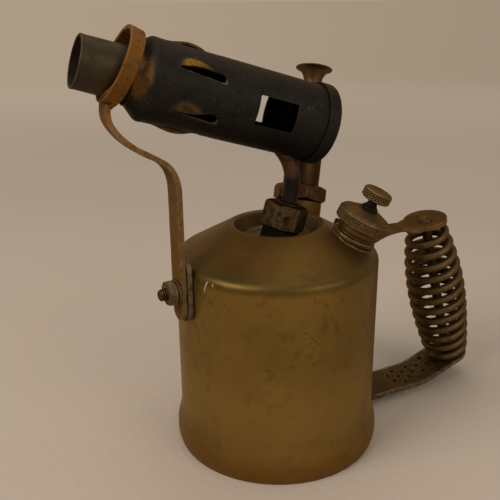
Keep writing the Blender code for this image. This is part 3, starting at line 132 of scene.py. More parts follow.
class Signal:
    """A node's socket that takes Python arithmetic: each operator adds its Math node."""

    def __init__(self, shader: "Shader", socket: bpy.types.NodeSocket) -> None:
        """Keeps the socket and the shader that it belongs to."""
        self.shader = shader
        self.socket = socket

    __add__ = _operator("ADD")
    __radd__ = _operator("ADD", swapped=True)
    __sub__ = _operator("SUBTRACT")
    __rsub__ = _operator("SUBTRACT", swapped=True)
    __mul__ = _operator("MULTIPLY")
    __rmul__ = _operator("MULTIPLY", swapped=True)
    __truediv__ = _operator("DIVIDE")
    __pow__ = _operator("POWER")
    most = _operator("MAXIMUM")
    least = _operator("MINIMUM")

    def step(self, low: float, high: float) -> "Signal":
        """A smooth step from 0 at low to 1 at high.

        Args:
            low: the value that gives 0.
            high: the value that gives 1; it may be below low.

        Returns:
            The stepped signal, between 0 and 1.
        """
        settings = {"interpolation_type": "SMOOTHSTEP"}
        sockets = {"Value": self, "From Min": low, "From Max": high, "To Min": 0.0, "To Max": 1.0}
        if low > high:
            sockets.update({"From Min": high, "From Max": low, "To Min": 1.0, "To Max": 0.0})
        return self.shader.add("ShaderNodeMapRange", settings, sockets)


Term = Union[Signal, float, int]
Shade = Union[Signal, Colour]


class Shader:
    """A material's node tree under one Principled shader."""

    def __init__(self, name: str) -> None:
        """Starts a material with its Principled shader.

        Args:
            name: the material's name.
        """
        self.material = bpy.data.materials.new(name)
        self.material.use_nodes = True
        self.tree = self.material.node_tree
        self.surface = self.tree.nodes["Principled BSDF"]
        self._place: Signal | None = None

    def add(self, kind: str, settings: dict, sockets: dict, output: Union[int, str] = 0) -> Signal:
        """Adds a node.

        Args:
            kind: the node's type.
            settings: its properties; "ramp" holds a colour ramp's stops as (place, colour).
            sockets: a value or a signal for each input, by name or number.
            output: the output that is wanted.

        Returns:
            The output as a signal.
        """
        node = self.tree.nodes.new(kind)
        for key, value in settings.items():
            if key == "ramp":
                self._set_ramp(node.color_ramp, value)
            else:
                setattr(node, key, value)
        for key, value in sockets.items():
            self.give(node.inputs[key], value)
        return Signal(self, node.outputs[output])

    def give(self, socket: bpy.types.NodeSocket, value: Union[Term, Shade]) -> None:
        """Links a signal to a socket, or sets its value.

        Args:
            socket: the input.
            value: a signal, a number, a point or a colour.
        """
        if isinstance(value, Signal):
            self.tree.links.new(value.socket, socket)
        else:
            socket.default_value = (*value, 1.0) if socket.type == "RGBA" else value

    @staticmethod
    def _set_ramp(ramp: bpy.types.ColorRamp, stops: Sequence[tuple[float, Colour]]) -> None:
        """Sets a colour ramp's stops.

        Args:
            ramp: the colour ramp.
            stops: each stop's place and colour.
        """
        while len(ramp.elements) < len(stops):
            ramp.elements.new(1.0)
        for element, (place, colour) in zip(ramp.elements, stops):
            element.position = place
            element.color = (*colour, 1.0)

    def vector(self, operation: str, sockets: dict, output: Union[int, str] = 0) -> Signal:
        """One Vector Math node."""
        return self.add("ShaderNodeVectorMath", {"operation": operation}, sockets, output)

    def place(self) -> Signal:
        """The point on the piece, in metres in the lamp's own frame.

        Returns:
            The point.
        """
        if self._place is None:
            self._place = self.add("ShaderNodeTexCoord", {}, {}, "Object")
        return self._place

    def mapped(self, centre: Triple = ORIGIN, turn: Triple = ORIGIN, stretch: Triple = EVEN) -> Signal:
        """The point seen from a piece's own centre, turned and stretched.

        Args:
            centre: where the pattern's zero lies.
            turn: the pattern's own Euler angles.
            stretch: the pattern's size along its own axes.

        Returns:
            The mapped point.
        """
        sockets = {"Vector": self.place(), "Location": centre, "Rotation": turn, "Scale": stretch}
        return self.add("ShaderNodeMapping", {"vector_type": "TEXTURE"}, sockets)

    def axis(self, letter: str, point: Signal | None = None) -> Signal:
        """One coordinate of a point."""
        return self.add("ShaderNodeSeparateXYZ", {}, {0: point or self.place()}, letter)

    def cloud(
        self, size: float, detail: float = 4.0, harsh: float = 0.55, point: Signal | None = None
    ) -> Signal:
        """Fractal noise whose blotches are about a size across."""
        sockets = {"Vector": point or self.place(), "Scale": 1 / size, "Detail": detail, "Roughness": harsh}
        return self.add("ShaderNodeTexNoise", {}, sockets)

    def flecks(self, size: float, share: float, point: Signal | None = None) -> Signal:
        """Round flecks, 1 at their middles.

        Args:
            size: the spacing of the flecks.
            share: how much of the spacing a fleck takes.
            point: where it is read, or the piece's own point.

        Returns:
            The mask of the flecks.
        """
        sockets = {"Vector": point or self.place(), "Scale": 1 / size, "Randomness": 1.0}
        near = self.add("ShaderNodeTexVoronoi", {}, sockets, "Distance")
        return near.step(share, share * 0.4)

    def scratches(self, size: float, length: float, turn: float) -> Signal:
        """Short, nearly straight lines, 1 along their middles.

        Args:
            size: the spacing of the lines.
            length: how many times longer than the spacing they run.
            turn: their direction.

        Returns:
            The mask of the lines.
        """
        point = self.mapped(ORIGIN, (turn, turn * 0.6, turn * 1.7), (1.0, length, 1.0))
        lines = abs_of(self.cloud(size, 0.0, 0.5, point) - 0.5).step(0.010, 0.002)
        return lines * self.cloud(size * 4, 2.0, 0.5).step(0.54, 0.60)

    def stroke(self, start: Vector, end: Vector, width: float) -> Signal:
        """A straight mark between two points, 1 along its middle and thin at its end.

        Args:
            start: where it starts.
            end: where it ends.
            width: half its width.

        Returns:
            The mask of the mark.
        """
        along = tuple(end - start)
        offset = self.vector("SUBTRACT", {0: self.place(), 1: tuple(start)})
        travel = self.vector("DOT_PRODUCT", {0: offset, 1: along}, "Value")
        share = (travel / (end - start).length_squared).most(0.0).least(1.0)
        nearest = self.vector("SCALE", {0: along, "Scale": share})
        distance = self.vector("DISTANCE", {0: offset, 1: nearest}, "Value")
        ragged = distance + (self.cloud(width * 4, 3.0, 0.7) - 0.5) * width
        return (ragged + share * width * 0.4).step(width, width * 0.5)

    def kept(self, name: str) -> Signal:
        """A value that the mesh keeps at its points, between 0 and 1."""
        return self.add("ShaderNodeAttribute", {"attribute_name": name}, {}, "Fac")

    def from_axis(self, centre: Triple) -> Signal:
        """Distance from an upright axis through a point.

        Args:
            centre: the point.

        Returns:
            The level distance.
        """
        flat = self.mapped(centre)
        x, y = self.axis("X", flat), self.axis("Y", flat)
        return (x * x + y * y) ** 0.5

    def hollow(self, reach: float) -> Signal:
        """1 deep in corners and hollows, 0 in the open.

        Args:
            reach: how far it looks for walls.

        Returns:
            The mask of the hollows.
        """
        sockets = {"Distance": reach}
        open_sky = self.add("ShaderNodeAmbientOcclusion", {"samples": 6}, sockets, "AO")
        return open_sky.step(0.85, 0.35)

    def edge(self) -> Signal:
        """1 along rounded outer edges."""
        return self.add("ShaderNodeNewGeometry", {}, {}, "Pointiness").step(0.515, 0.56)

    def mix(self, share: Term, first: Shade, second: Shade) -> Signal:
        """A colour between two."""
        return self.add("ShaderNodeMix", {"data_type": "RGBA"}, {0: share, 6: first, 7: second}, 2)

    def bump(self, height: Signal, depth: float, below: Signal | None = None) -> Signal:
        """A normal that shows a height of 0 to 1 as relief of a depth in metres.

        Args:
            height: the height.
            depth: what a height of 1 stands for.
            below: a normal that it adds to.

        Returns:
            The normal.
        """
        sockets = {"Height": height, "Distance": depth, "Strength": 1.0}
        if below is not None:
            sockets["Normal"] = below
        return self.add("ShaderNodeBump", {}, sockets)

    def set(self, **sockets: Union[Term, Shade]) -> None:
        """Sets or links the Principled shader's sockets; an underscore stands for a space."""
        for key, value in sockets.items():
            self.give(self.surface.inputs[key.replace("_", " ")], value)


def abs_of(signal: Signal) -> Signal:
    """A signal without its sign."""
    return signal.most(0.0 - signal)


@dataclass(frozen=True)
class AgedMetal:
    """A metal with cloudy patina, painted shade darkening its hollows, rubbed edges, pits and scratches.

    The roughness runs from clean to dirty, and the blotches are the sizes of the patina's clouds and mottle.
    """

    name: str
    base: Colour
    cloud: Colour
    stain: Colour
    rubbed: Colour
    metallic: float = 0.85
    roughness: tuple[float, float] = (0.36, 0.62)
    blotches: tuple[float, float] = (0.030, 0.006)
    grain_size: float = 0.0006
    relief: float = 0.00005
    pits: float = 0.35
    hollow_shade: float = 0.8
    wear: float = 0.7
    hollow_reach: float = 0.004
    gloss: float = 0.25
    edge_tint: Colour = (0.80, 0.62, 0.42)
    scratched: float = 0.5

    def tint(self, shader: Shader, colour: Signal) -> Signal:
        """What a special finish adds to the colour; the plain one adds nothing."""
        return colour

    def waves(self, shader: Shader, normal: Signal) -> Signal:
        """What a special finish adds to the relief; the plain one adds nothing."""
        return normal

    def build(self) -> bpy.types.Material:
        """Makes the material.

        Returns:
            The material, with all of its pattern on the lamp's own coordinates.
        """
        shader = Shader(self.name)
        cloud_size, mottle_size = self.blotches
        clean, dirty = self.roughness
        clouds = shader.cloud(cloud_size, 5.0, 0.6).step(0.36, 0.66)
        mottle = shader.cloud(mottle_size, 6.0, 0.65)
        grain = shader.cloud(self.grain_size, 3.0, 0.6)
        stains = mottle.step(0.50, 0.74)
        pits = shader.flecks(mottle_size * 0.35, 0.22) * mottle.step(0.42, 0.62) * self.pits
        scratches = shader.scratches(0.0030, 30.0, 0.7) * self.scratched
        # Painted shade: an ambient occlusion mask that darkens the colour in hollows and corners. It also
        # lowers the metallic and raises the roughness there.
        hollow = shader.hollow(self.hollow_reach) * self.hollow_shade
        rubbed = shader.edge() * mottle.step(0.30, 0.62) * self.wear
        colour = shader.mix(clouds, self.base, self.cloud)
        colour = shader.mix(stains * 0.65, colour, self.stain)
        colour = shader.mix(grain.step(0.40, 0.75) * 0.25, colour, self.stain)
        colour = self.tint(shader, colour)
        colour = shader.mix(rubbed, colour, self.rubbed)
        colour = shader.mix(scratches * 0.45, colour, self.rubbed)
        # Pits are real; the darkening in hollows mixed in here is painted shade.
        colour = shader.mix(pits.most(hollow), colour, self.stain)
        dirt = (stains * 0.5 + clouds * 0.3 + grain * 0.3).most(hollow)
        normal = shader.bump(grain, self.relief)
        normal = shader.bump(mottle, self.relief * 4, normal)
        normal = shader.bump(pits + scratches * 0.4, -self.relief * 1.5, normal)
        normal = self.waves(shader, normal)
        shader.set(
            Base_Color=colour, Metallic=self.metallic - hollow * self.metallic * 0.5,
            Roughness=clean + dirt * (dirty - clean), Specular_IOR_Level=self.gloss,
            Specular_Tint=self.edge_tint, Normal=normal
        )
        return shader.material


@dataclass(frozen=True)
class Mark:
    """A mark on the tank's side between two points, each an angle in degrees and a height."""

    start: tuple[float, float]
    end: tuple[float, float]
    width: float
    pale: bool = False


MARKS = (
    Mark((-158.1, 0.0944), (-160.6, 0.0888), 0.00055, True),
    Mark((-154.8, 0.0932), (-154.2, 0.0925), 0.00050, True),
    Mark((-105.9, 0.0747), (-94.8, 0.0700), 0.00022), Mark((-103.7, 0.0684), (-92.7, 0.0743), 0.00025),
    Mark((-102.0, 0.0722), (-97.0, 0.0675), 0.00030), Mark((-100.7, 0.0585), (-93.4, 0.0635), 0.00030),
    Mark((-91.1, 0.0810), (-85.6, 0.0705), 0.00016), Mark((-86.8, 0.0815), (-87.6, 0.0719), 0.00014),
    Mark((-129.6, 0.0966), (-129.2, 0.0966), 0.00045), Mark((-100.5, 0.0892), (-100.1, 0.0888), 0.00050),
    Mark((-154.1, 0.0772), (-153.8, 0.0772), 0.00045), Mark((-158.7, 0.0827), (-158.4, 0.0825), 0.00040),
    Mark((-118.9, 0.0182), (-118.5, 0.0182), 0.00040), Mark((-120.5, 0.0113), (-120.2, 0.0113), 0.00045),
    Mark((-92.3, 0.0943), (-91.9, 0.0943), 0.00040), Mark((-147.0, 0.0856), (-146.8, 0.0856), 0.00035)
)


@dataclass(frozen=True)
class DrawnBrass(AgedMetal):
    """The tank's brass: a redder shoulder, a dark dish, turned lines around it, pits, nicks, scratches,
    painted shade and painted reflections.
    """

    middle: Triple = ORIGIN
    radius: float = 0.0475
    shoulder_height: float = 0.0985
    shoulder: Colour = (0.100, 0.050, 0.0105)
    skirt_height: float = 0.0160
    skirt: Colour = (0.190, 0.088, 0.016)
    dish_radius: float = 0.0212
    dish_height: float = 0.0990
    dish: Colour = (0.130, 0.090, 0.042)
    crease_shade: Colour = (0.078, 0.050, 0.013)
    olive: Colour = (0.120, 0.076, 0.015)
    side_share: tuple[float, float] = (0.866, -0.5)
    ink: Colour = (0.045, 0.027, 0.009)
    # low is the colour of a painted reflection of the floor, low on the wall.
    low: Colour = (0.300, 0.182, 0.047)
    paint: Colour = (0.60, 0.55, 0.42)
    line_stretch: float = 0.02

    def mark(self, shader: Shader, mark: Mark) -> Signal:
        """One mark's mask, with its ends laid on the tank's side.

        Args:
            shader: the material in the making.
            mark: the mark.

        Returns:
            Its mask.
        """
        ends = []
        for angle, height in (mark.start, mark.end):
            turn = math.radians(angle)
            ends.append(Vector(self.middle) + Vector((math.cos(turn), math.sin(turn), 0)) * self.radius)
            ends[-1].z = height
        return shader.stroke(ends[0], ends[1], mark.width)

    def tint(self, shader: Shader, colour: Signal) -> Signal:
        """Reddens the shoulder, warms the skirt, darkens the dish, adds the marks, and paints shade and
        reflections on the wall.

        Args:
            shader: the material in the making.
            colour: the colour so far.

        Returns:
            The tinted colour.
        """
        height = shader.axis("Z")
        uneven = height + (shader.cloud(0.012, 4.0, 0.6) - 0.5) * 0.006
        rise = uneven.step(self.shoulder_height - 0.0035, self.shoulder_height + 0.0005)
        colour = shader.mix(rise * 0.9, colour, self.shoulder)
        ring = height - self.shoulder_height
        # Painted shade: a darker ring at the rounding between the shoulder and the wall dims the lamp's
        # highlight there.
        colour = shader.mix(
            ring.step(-0.0085, -0.0050) * ring.step(0.0016, -0.0016) * 0.85, colour, self.crease_shade
        )
        crust = shader.cloud(0.0016, 5.0, 0.75).step(0.50, 0.66) * rise
        colour = shader.mix(crust * 0.30, colour, self.stain)
        # Painted shade: the right-hand side, and the left side low down, are darkened with the crease's shade
        # colour.
        across = (shader.axis("X") - self.middle[0]) * self.side_share[0]
        across = across + shader.axis("Y") * self.side_share[1]
        shade = across.step(0.010, 0.046) + across.step(-0.020, -0.040) * height.step(0.075, 0.050)
        colour = shader.mix(shade * 0.30, colour, self.crease_shade)
        colour = shader.mix(
            uneven.step(self.skirt_height, self.skirt_height * 0.35) * 0.7, colour, self.skirt
        )
        # Painted reflection: a brighter band low on the wall stands in for the lit floor's reflection.
        lower = uneven.step(0.062, 0.034) * uneven.step(0.012, 0.024)
        colour = shader.mix(lower * 0.5, colour, self.low)
        smudge = shader.cloud(0.016, 4.0, 0.55, shader.mapped(stretch=(1, 1, 2.0)))
        colour = shader.mix(smudge.step(0.56, 0.78) * 0.35, colour, self.stain)
        # Upright olive bands at random places: random tone, and partly painted reflection standing in for the
        # wall's soft vertical reflections.
        upright = shader.cloud(0.020, 3.0, 0.5, shader.mapped(stretch=(1, 1, 4.5)))
        colour = shader.mix(upright.step(0.48, 0.70) * 0.45, colour, self.olive)
        specks = shader.flecks(0.0042, 0.075) * shader.cloud(0.013, 3.0, 0.5).step(0.50, 0.56)
        colour = shader.mix(specks * 0.8, colour, self.ink)
        reach = shader.from_axis(self.middle)
        inside = reach.step(self.dish_radius + 0.0002, self.dish_radius - 0.0008)
        inside = inside * height.step(self.dish_height - 0.003, self.dish_height)
        inside = inside * (0.75 + shader.cloud(0.004, 4.0, 0.6) * 0.3).least(0.95)
        colour = shader.mix(inside, colour, self.dish)
        dark = [self.mark(shader, mark) for mark in MARKS if not mark.pale]
        pale = [self.mark(shader, mark) for mark in MARKS if mark.pale]
        for masks, ink, share in ((dark, self.ink, 0.75), (pale, self.paint, 0.95)):
            total = masks[0]
            for mask in masks[1:]:
                total = total.most(mask)
            colour = shader.mix(total * share, colour, ink)
        return colour

    def waves(self, shader: Shader, normal: Signal) -> Signal:
        """Adds the faint lines of turning and some shallow dents.

        Args:
            shader: the material in the making.
            normal: the normal so far.

        Returns:
            The wavier normal.
        """
        point = shader.mapped(stretch=(1, 1, self.line_stretch))
        lines = shader.cloud(0.05, 3.0, 0.7, point)
        dents = shader.cloud(0.022, 2.0, 0.4)
        return shader.bump(dents, 0.0009, shader.bump(lines, self.relief, normal))


@dataclass(frozen=True)
class HeatedSteel(AgedMetal):
    """Steel that the flame has coloured: a brown and orange bloom around a point."""

    turned: Triple = ORIGIN
    bloom_centre: Triple = ORIGIN
    bloom_size: Triple = (0.010, 0.010, 0.010)
    bloom: Colour = (0.12, 0.055, 0.014)
    bloom_share: float = 0.8
    soot_and_shade_centre: Triple = ORIGIN
    soot_and_shade_reach: float = 0.03
    soot: Colour = (0.010, 0.009, 0.008)
    heat: Colour = (0.210, 0.098, 0.012)
    cut: Colour = (0.115, 0.098, 0.060)
    dust: Colour = (0.20, 0.18, 0.13)
    dust_share: float = 0.5

    def near(self, shader: Shader, centre: Triple, size: Triple) -> Signal:
        """1 around a centre, with an uneven limit.

        Args:
            shader: the material in the making.
            centre: the point.
            size: how far it reaches along each axis.

        Returns:
            The mask.
        """
        point = shader.mapped(centre, self.turned, size)
        offset = shader.vector("LENGTH", {0: point}, "Value")
        return (offset + (shader.cloud(0.008, 4.0, 0.6) - 0.5) * 0.8).step(1.0, 0.55)

    def tint(self, shader: Shader, colour: Signal) -> Signal:
        """Lays the bloom and the soot over the steel.

        Args:
            shader: the material in the making.
            colour: the colour so far.

        Returns:
            The tinted colour.
        """
        bloom = self.near(shader, self.bloom_centre, self.bloom_size)
        bloom = bloom * shader.cloud(0.0055, 4.0, 0.5).step(0.32, 0.52)
        colour = shader.mix(bloom * self.bloom_share, colour, self.bloom)
        # Soot darkens around a point; on the gland nut this darkening is painted shade on its right-hand
        # face, elsewhere it is soot.
        soot = self.near(shader, self.soot_and_shade_centre, (self.soot_and_shade_reach,) * 3)
        colour = shader.mix(soot * 0.8, colour, self.soot)
        heat = shader.kept("scorch") * (0.35 + shader.cloud(0.0035, 4.0, 0.6).step(0.35, 0.60) * 0.65)
        colour = shader.mix(heat, colour, self.heat)
        colour = shader.mix(shader.kept("cut").step(0.45, 0.95) * 0.8, colour, self.cut)
        specks = shader.flecks(0.0024, 0.10) * shader.cloud(0.010, 3.0, 0.6).step(0.50, 0.58)
        smears = shader.cloud(0.0013, 4.0, 0.7).step(0.58, 0.68)
        smears = smears * shader.cloud(0.012, 3.0, 0.6).step(0.52, 0.62)
        return shader.mix(specks.most(smears * 0.5) * self.dust_share, colour, self.dust)


@dataclass(frozen=True)
class Rust(AgedMetal):
    """Steel under ochre rust, with darker scale in patches."""

    scale_colour: Colour = (0.035, 0.020, 0.010)
    bright: Colour = (0.26, 0.105, 0.010)
    fresh_height: float = 0.165
    dull: Colour = (0.090, 0.044, 0.012)

    def tint(self, shader: Shader, colour: Signal) -> Signal:
        """Dulls the rust under a height, and adds bright crumbs and dark scale.

        Args:
            shader: the material in the making.
            colour: the colour so far.

        Returns:
            The tinted colour.
        """
        height = shader.axis("Z") + (shader.cloud(0.010, 4.0, 0.6) - 0.5) * 0.02
        colour = shader.mix(
            height.step(self.fresh_height, self.fresh_height - 0.03) * 0.85, colour, self.dull
        )
        crumbs = shader.cloud(0.0009, 5.0, 0.75)
        colour = shader.mix(crumbs.step(0.50, 0.70) * 0.6, colour, self.bright)
        scale = shader.cloud(0.0045, 5.0, 0.7).step(0.55, 0.68)
        return shader.mix(scale * 0.75, colour, self.scale_colour)

    def waves(self, shader: Shader, normal: Signal) -> Signal:
        """Adds the rust's crust."""
        return shader.bump(shader.cloud(0.0014, 6.0, 0.75), 0.00022, normal)


@dataclass(frozen=True)
class Leather:
    """Oiled leather with a fine grain."""

    name: str
    base: Colour
    dark: Colour

    def build(self) -> bpy.types.Material:
        """Makes the material.

        Returns:
            The material.
        """
        shader = Shader(self.name)
        grain = shader.cloud(0.0008, 5.0, 0.7)
        colour = shader.mix(grain.step(0.35, 0.65), self.base, self.dark)
        shader.set(Base_Color=colour, Roughness=0.62 + grain * 0.25, Normal=shader.bump(grain, 0.00008))
        return shader.material


class Solid:
    """A mesh in the making, in the local frame of its sub-assembly."""

    def __init__(self) -> None:
        """Starts an empty shape."""
        self.shape = bmesh.new()

    @classmethod
    def spun(cls, profile: Profile, segments: Segments = Segments.MIDDLE, ring: bool = False) -> "Solid":
        """Turns a profile about Z.

        Args:
            profile: points as (radius, height); an open one starts and ends on the axis.
            segments: the steps around the axis.
            ring: whether the profile closes on itself.

        Returns:
            The turned solid.
        """
        solid = cls()
        shape = solid.shape
        verts = [shape.verts.new((radius, 0, height)) for radius, height in profile]
        pairs = list(zip(verts, verts[1:]))
        if ring:
            pairs.append((verts[-1], verts[0]))
        edges = [shape.edges.new(pair) for pair in pairs]
        bmesh.ops.spin(
            shape, geom=verts + edges, cent=(0, 0, 0), axis=(0, 0, 1), angle=FULL_TURN,
            steps=segments.value, use_merge=True
        )
        return solid.tidy()

    @classmethod
    def turned(cls, corners: Corners, segments: Segments = Segments.MIDDLE, steps: int = 3) -> "Solid":
        """Turns an open profile with rounded corners, which starts and ends on the axis."""
        return cls.spun(rounded(corners, steps), segments)

    @classmethod
    def ringed(cls, corners: Corners, segments: Segments = Segments.MIDDLE, steps: int = 3) -> "Solid":
        """Turns a closed profile with rounded corners."""
        return cls.spun(rounded(corners, steps, closed=True), segments, ring=True)

    @classmethod
    def tube(cls, outer: float, inner: float, low: float, high: float, fillet: float = EDGE) -> "Solid":
        """A turned tube with rounded rims."""
        corners = [(outer, high, fillet), (outer, low, fillet), (inner, low, fillet), (inner, high, fillet)]
        return cls.ringed(corners)

    @classmethod
    def rod(cls, radius: float, low: float, high: float, fillet: float = EDGE) -> "Solid":
        """A turned bar with rounded ends."""
        corners = [(0, high, 0), (radius, high, fillet), (radius, low, fillet), (0, low, 0)]
        return cls.turned(corners, Segments.SMALL)

    @classmethod
    def block(cls, low: Sequence[float], high: Sequence[float]) -> "Solid":
        """A box between two corners.

        Args:
            low: its lowest corner.
            high: its highest corner.

        Returns:
            The box.
        """
        solid = cls()
        middle = Vector([(a + b) / 2 for a, b in zip(low, high)])
        size = [b - a for a, b in zip(low, high)]
        place = Matrix.Translation(middle) @ Matrix.Diagonal((*size, 1.0))
        bmesh.ops.create_cube(solid.shape, size=1, matrix=place)
        return solid

    @classmethod
    def prism(cls, sides: int, flats: float, low: float, high: float, turn: float = 0.0) -> "Solid":
        """An upright prism by its width across flats.

        Args:
            sides: how many sides it has.
            flats: its width across flats.
            low: its lower face.
            high: its upper face.
            turn: its turn about Z.

        Returns:
            The prism.
        """
        solid = cls()
        radius = flats / 2 / math.cos(math.pi / sides)
        place = Matrix.Translation((0, 0, (low + high) / 2)) @ Matrix.Rotation(turn, 4, "Z")
        bmesh.ops.create_cone(
            solid.shape, cap_ends=True, segments=sides, radius1=radius, radius2=radius, depth=high - low,
            matrix=place
        )
        return solid

    @classmethod
    def along(cls, points: Points, radius: float, closed: bool = False, resolution: int = 6) -> "Solid":
        """A round bar along a line of points.

        Args:
            points: the line.
            radius: the bar's radius.
            closed: whether the line closes on itself.
            resolution: how round the bar is.

        Returns:
            The bar.
        """
        curve = bpy.data.curves.new("line", "CURVE")
        curve.dimensions = "3D"
        curve.bevel_depth = radius
        curve.bevel_resolution = resolution
        curve.use_fill_caps = not closed
        spline = curve.splines.new("POLY")
        spline.points.add(len(points) - 1)
        spline.use_cyclic_u = closed
        for point, place in zip(spline.points, points):
            point.co = (*place, 1)
        holder = bpy.data.objects.new("line", curve)
        return cls.taken(holder)

    @classmethod
    def plate(
        cls, surface: Callable[[float, float], Vector], along: int, across: int, thickness: float,
        edge: float, edge_steps: int = 3
    ) -> "Solid":
        """A bent plate: a grid laid on a surface, given its thickness and rounded edges.

        Args:
            surface: gives a point for shares from 0 to 1 along and -1 to 1 across.
            along: how many grid steps run along.
            across: how many grid steps run across.
            thickness: the plate's thickness, centred on the surface.
            edge: the rounding of its edges.
            edge_steps: the steps of that rounding.

        Returns:
            The plate.
        """
        solid = cls()
        bmesh.ops.create_grid(solid.shape, x_segments=along, y_segments=across, size=1)
        for vertex in solid.shape.verts:
            vertex.co = surface((vertex.co.x + 1) / 2, vertex.co.y)
        solid.tidy(outwards=False)
        mesh = bpy.data.meshes.new("plate")
        solid.shape.to_mesh(mesh)
        holder = bpy.data.objects.new("plate", mesh)
        wall = holder.modifiers.new("wall", "SOLIDIFY")
        wall.thickness = thickness
        wall.offset = 0
        wall.use_even_offset = True
        rim = holder.modifiers.new("rim", "BEVEL")
        rim.width = edge
        rim.segments = edge_steps
        rim.limit_method = "ANGLE"
        rim.angle_limit = math.radians(50)
        return cls.taken(holder).tidy()

    @classmethod
    def outline(cls, points: Sequence[tuple[float, float]], low: float, high: float) -> "Solid":
        """A flat closed outline in XY, extruded from one height to another.

        Args:
            points: the outline's points.
            low: where it starts.
            high: where it ends.

        Returns:
            The extruded solid.
        """
        solid = cls()
        verts = [solid.shape.verts.new((x, y, low)) for x, y in points]
        face = solid.shape.faces.new(verts)
        grown = bmesh.ops.extrude_face_region(solid.shape, geom=[face])
        moved = [item for item in grown["geom"] if isinstance(item, bmesh.types.BMVert)]
        bmesh.ops.translate(solid.shape, vec=(0, 0, high - low), verts=moved)
        return solid.tidy()

    @classmethod
    def taken(cls, holder: bpy.types.Object) -> "Solid":
        """Takes a temporary object's evaluated mesh, and removes the object.

        Args:
            holder: the object, which isn't in the scene yet.

        Returns:
            Its mesh, with doubles merged.
        """
        bpy.context.scene.collection.objects.link(holder)
        bpy.context.view_layer.update()
        evaluated = holder.evaluated_get(bpy.context.evaluated_depsgraph_get())
        mesh = bpy.data.meshes.new_from_object(evaluated)
        solid = cls()
        solid.shape.from_mesh(mesh)
        data = holder.data
        bpy.data.objects.remove(holder, do_unlink=True)
        (bpy.data.curves if isinstance(data, bpy.types.Curve) else bpy.data.meshes).remove(data)
        bpy.data.meshes.remove(mesh)
        bmesh.ops.remove_doubles(solid.shape, verts=solid.shape.verts, dist=MERGE_DISTANCE)
        return solid

    def tidy(self, outwards: bool = True) -> "Solid":
        """Merges doubles, and turns the faces outwards.

        Args:
            outwards: whether the faces are turned too.

        Returns:
            The same solid.
        """
        bmesh.ops.remove_doubles(self.shape, verts=self.shape.verts, dist=MERGE_DISTANCE)
        if outwards:
            bmesh.ops.recalc_face_normals(self.shape, faces=self.shape.faces)
        return self

    def moved(self, matrix: Matrix) -> "Solid":
        """Moves the whole shape."""
        bmesh.ops.transform(self.shape, matrix=matrix, verts=self.shape.verts)
        return self

    def copy(self) -> "Solid":
        """A copy of the shape.

        Returns:
            The copy.
        """
        solid = Solid()
        solid.shape = self.shape.copy()
        return solid

    def with_part(self, other: "Solid") -> "Solid":
        """Takes in another shape that doesn't touch this one.

        Args:
            other: the other shape.

        Returns:
            The same solid.
        """
        mesh = bpy.data.meshes.new("part")
        other.shape.to_mesh(mesh)
        self.shape.from_mesh(mesh)
        bpy.data.meshes.remove(mesh)
        return self

    def _combined(self, other: "Solid", operation: str) -> "Solid":
        """This shape after a Boolean with another.

        Args:
            other: the other shape.
            operation: the Boolean's name.

        Returns:
            The same solid.
        """
        meshes = []
        for solid in (self, other):
            mesh = bpy.data.meshes.new("operand")
            solid.shape.to_mesh(mesh)
            meshes.append(mesh)
        tool = bpy.data.objects.new("tool", meshes[1])
        bpy.context.scene.collection.objects.link(tool)
        target = bpy.data.objects.new("target", meshes[0])
        change = target.modifiers.new("change", "BOOLEAN")
        change.operation = operation
        change.object = tool
        change.solver = "EXACT"
        result = Solid.taken(target)
        bpy.data.objects.remove(tool, do_unlink=True)
        bpy.data.meshes.remove(meshes[1])
        self.shape.free()
        self.shape = result.shape
        return self

    def cut(self, *others: "Solid") -> "Solid":
        """Takes other shapes out of this one.

        Args:
            others: the cutters.

        Returns:
            The same solid.
        """
        for other in others:
            self._combined(other, "DIFFERENCE")
        return self

    def joined(self, other: "Solid") -> "Solid":
        """Unites this shape with another."""
        return self._combined(other, "UNION")

    def kept_inside(self, other: "Solid") -> "Solid":
        """Keeps what lies inside another shape."""
        return self._combined(other, "INTERSECT")

    def shifted(self, change: Callable[[Vector], Vector]) -> "Solid":
        """Moves every point by a rule.

        Args:
            change: gives a point's new place.

        Returns:
            The same solid.
        """
        for vertex in self.shape.verts:
            vertex.co = change(vertex.co)
        return self

    def pressed(self, depth: Callable[[float, float, float], float]) -> "Solid":
        """Presses the skin of a turned piece inwards.

        Args:
            depth: gives how deep a point sinks, from its radius, turn and height.

        Returns:
            The same solid.
        """
        for vertex in self.shape.verts:
            x, y, height = vertex.co
            radius = math.hypot(x, y)
            if radius > 0:
                scale = 1 - depth(radius, math.atan2(y, x), height) / radius
                vertex.co = (x * scale, y * scale, height)
        return self

    def publish(
        self, name: str, place: Matrix, finish: bpy.types.Material, slot: Slot, body: Body = Body.LAMP,
        sharp: float = math.radians(38)
    ) -> bpy.types.Object:
        """Makes the finished piece, in the lamp's frame.

        Args:
            name: the piece's name: the name of the node that it stands for, and a word for its form.
            place: where its local frame stands.
            finish: its material.
            slot: the record's material slot; not used.
            body: the body that it rides on.
            sharp: the least angle of an edge that stays sharp.

        Returns:
            The piece.
        """
        mesh = bpy.data.meshes.new(name)
        self.moved(place)
        self.shape.to_mesh(mesh)
        self.shape.free()
        mesh.materials.append(finish)
        mesh.shade_smooth()
        mesh.set_sharp_from_angle(angle=sharp)
        piece = bpy.data.objects.new(name, mesh)
        bpy.context.scene.collection.objects.link(piece)
        weights = piece.modifiers.new("even_shading", "WEIGHTED_NORMAL")
        weights.keep_sharp = True
        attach(piece, body.value)
        node = name.rpartition("_")[0]
        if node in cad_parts:
            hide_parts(node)
        log.info("%s: %d faces on %s", name, len(mesh.polygons), body.value)
        return piece


def arc(centre: Sequence[float], radius: float, start: float, end: float, steps: int = 8) -> Profile:
    """Points on an arc, both ends included."""
    turns = [start + (end - start) * k / steps for k in range(steps + 1)]
    return [(centre[0] + radius * math.cos(turn), centre[1] + radius * math.sin(turn)) for turn in turns]


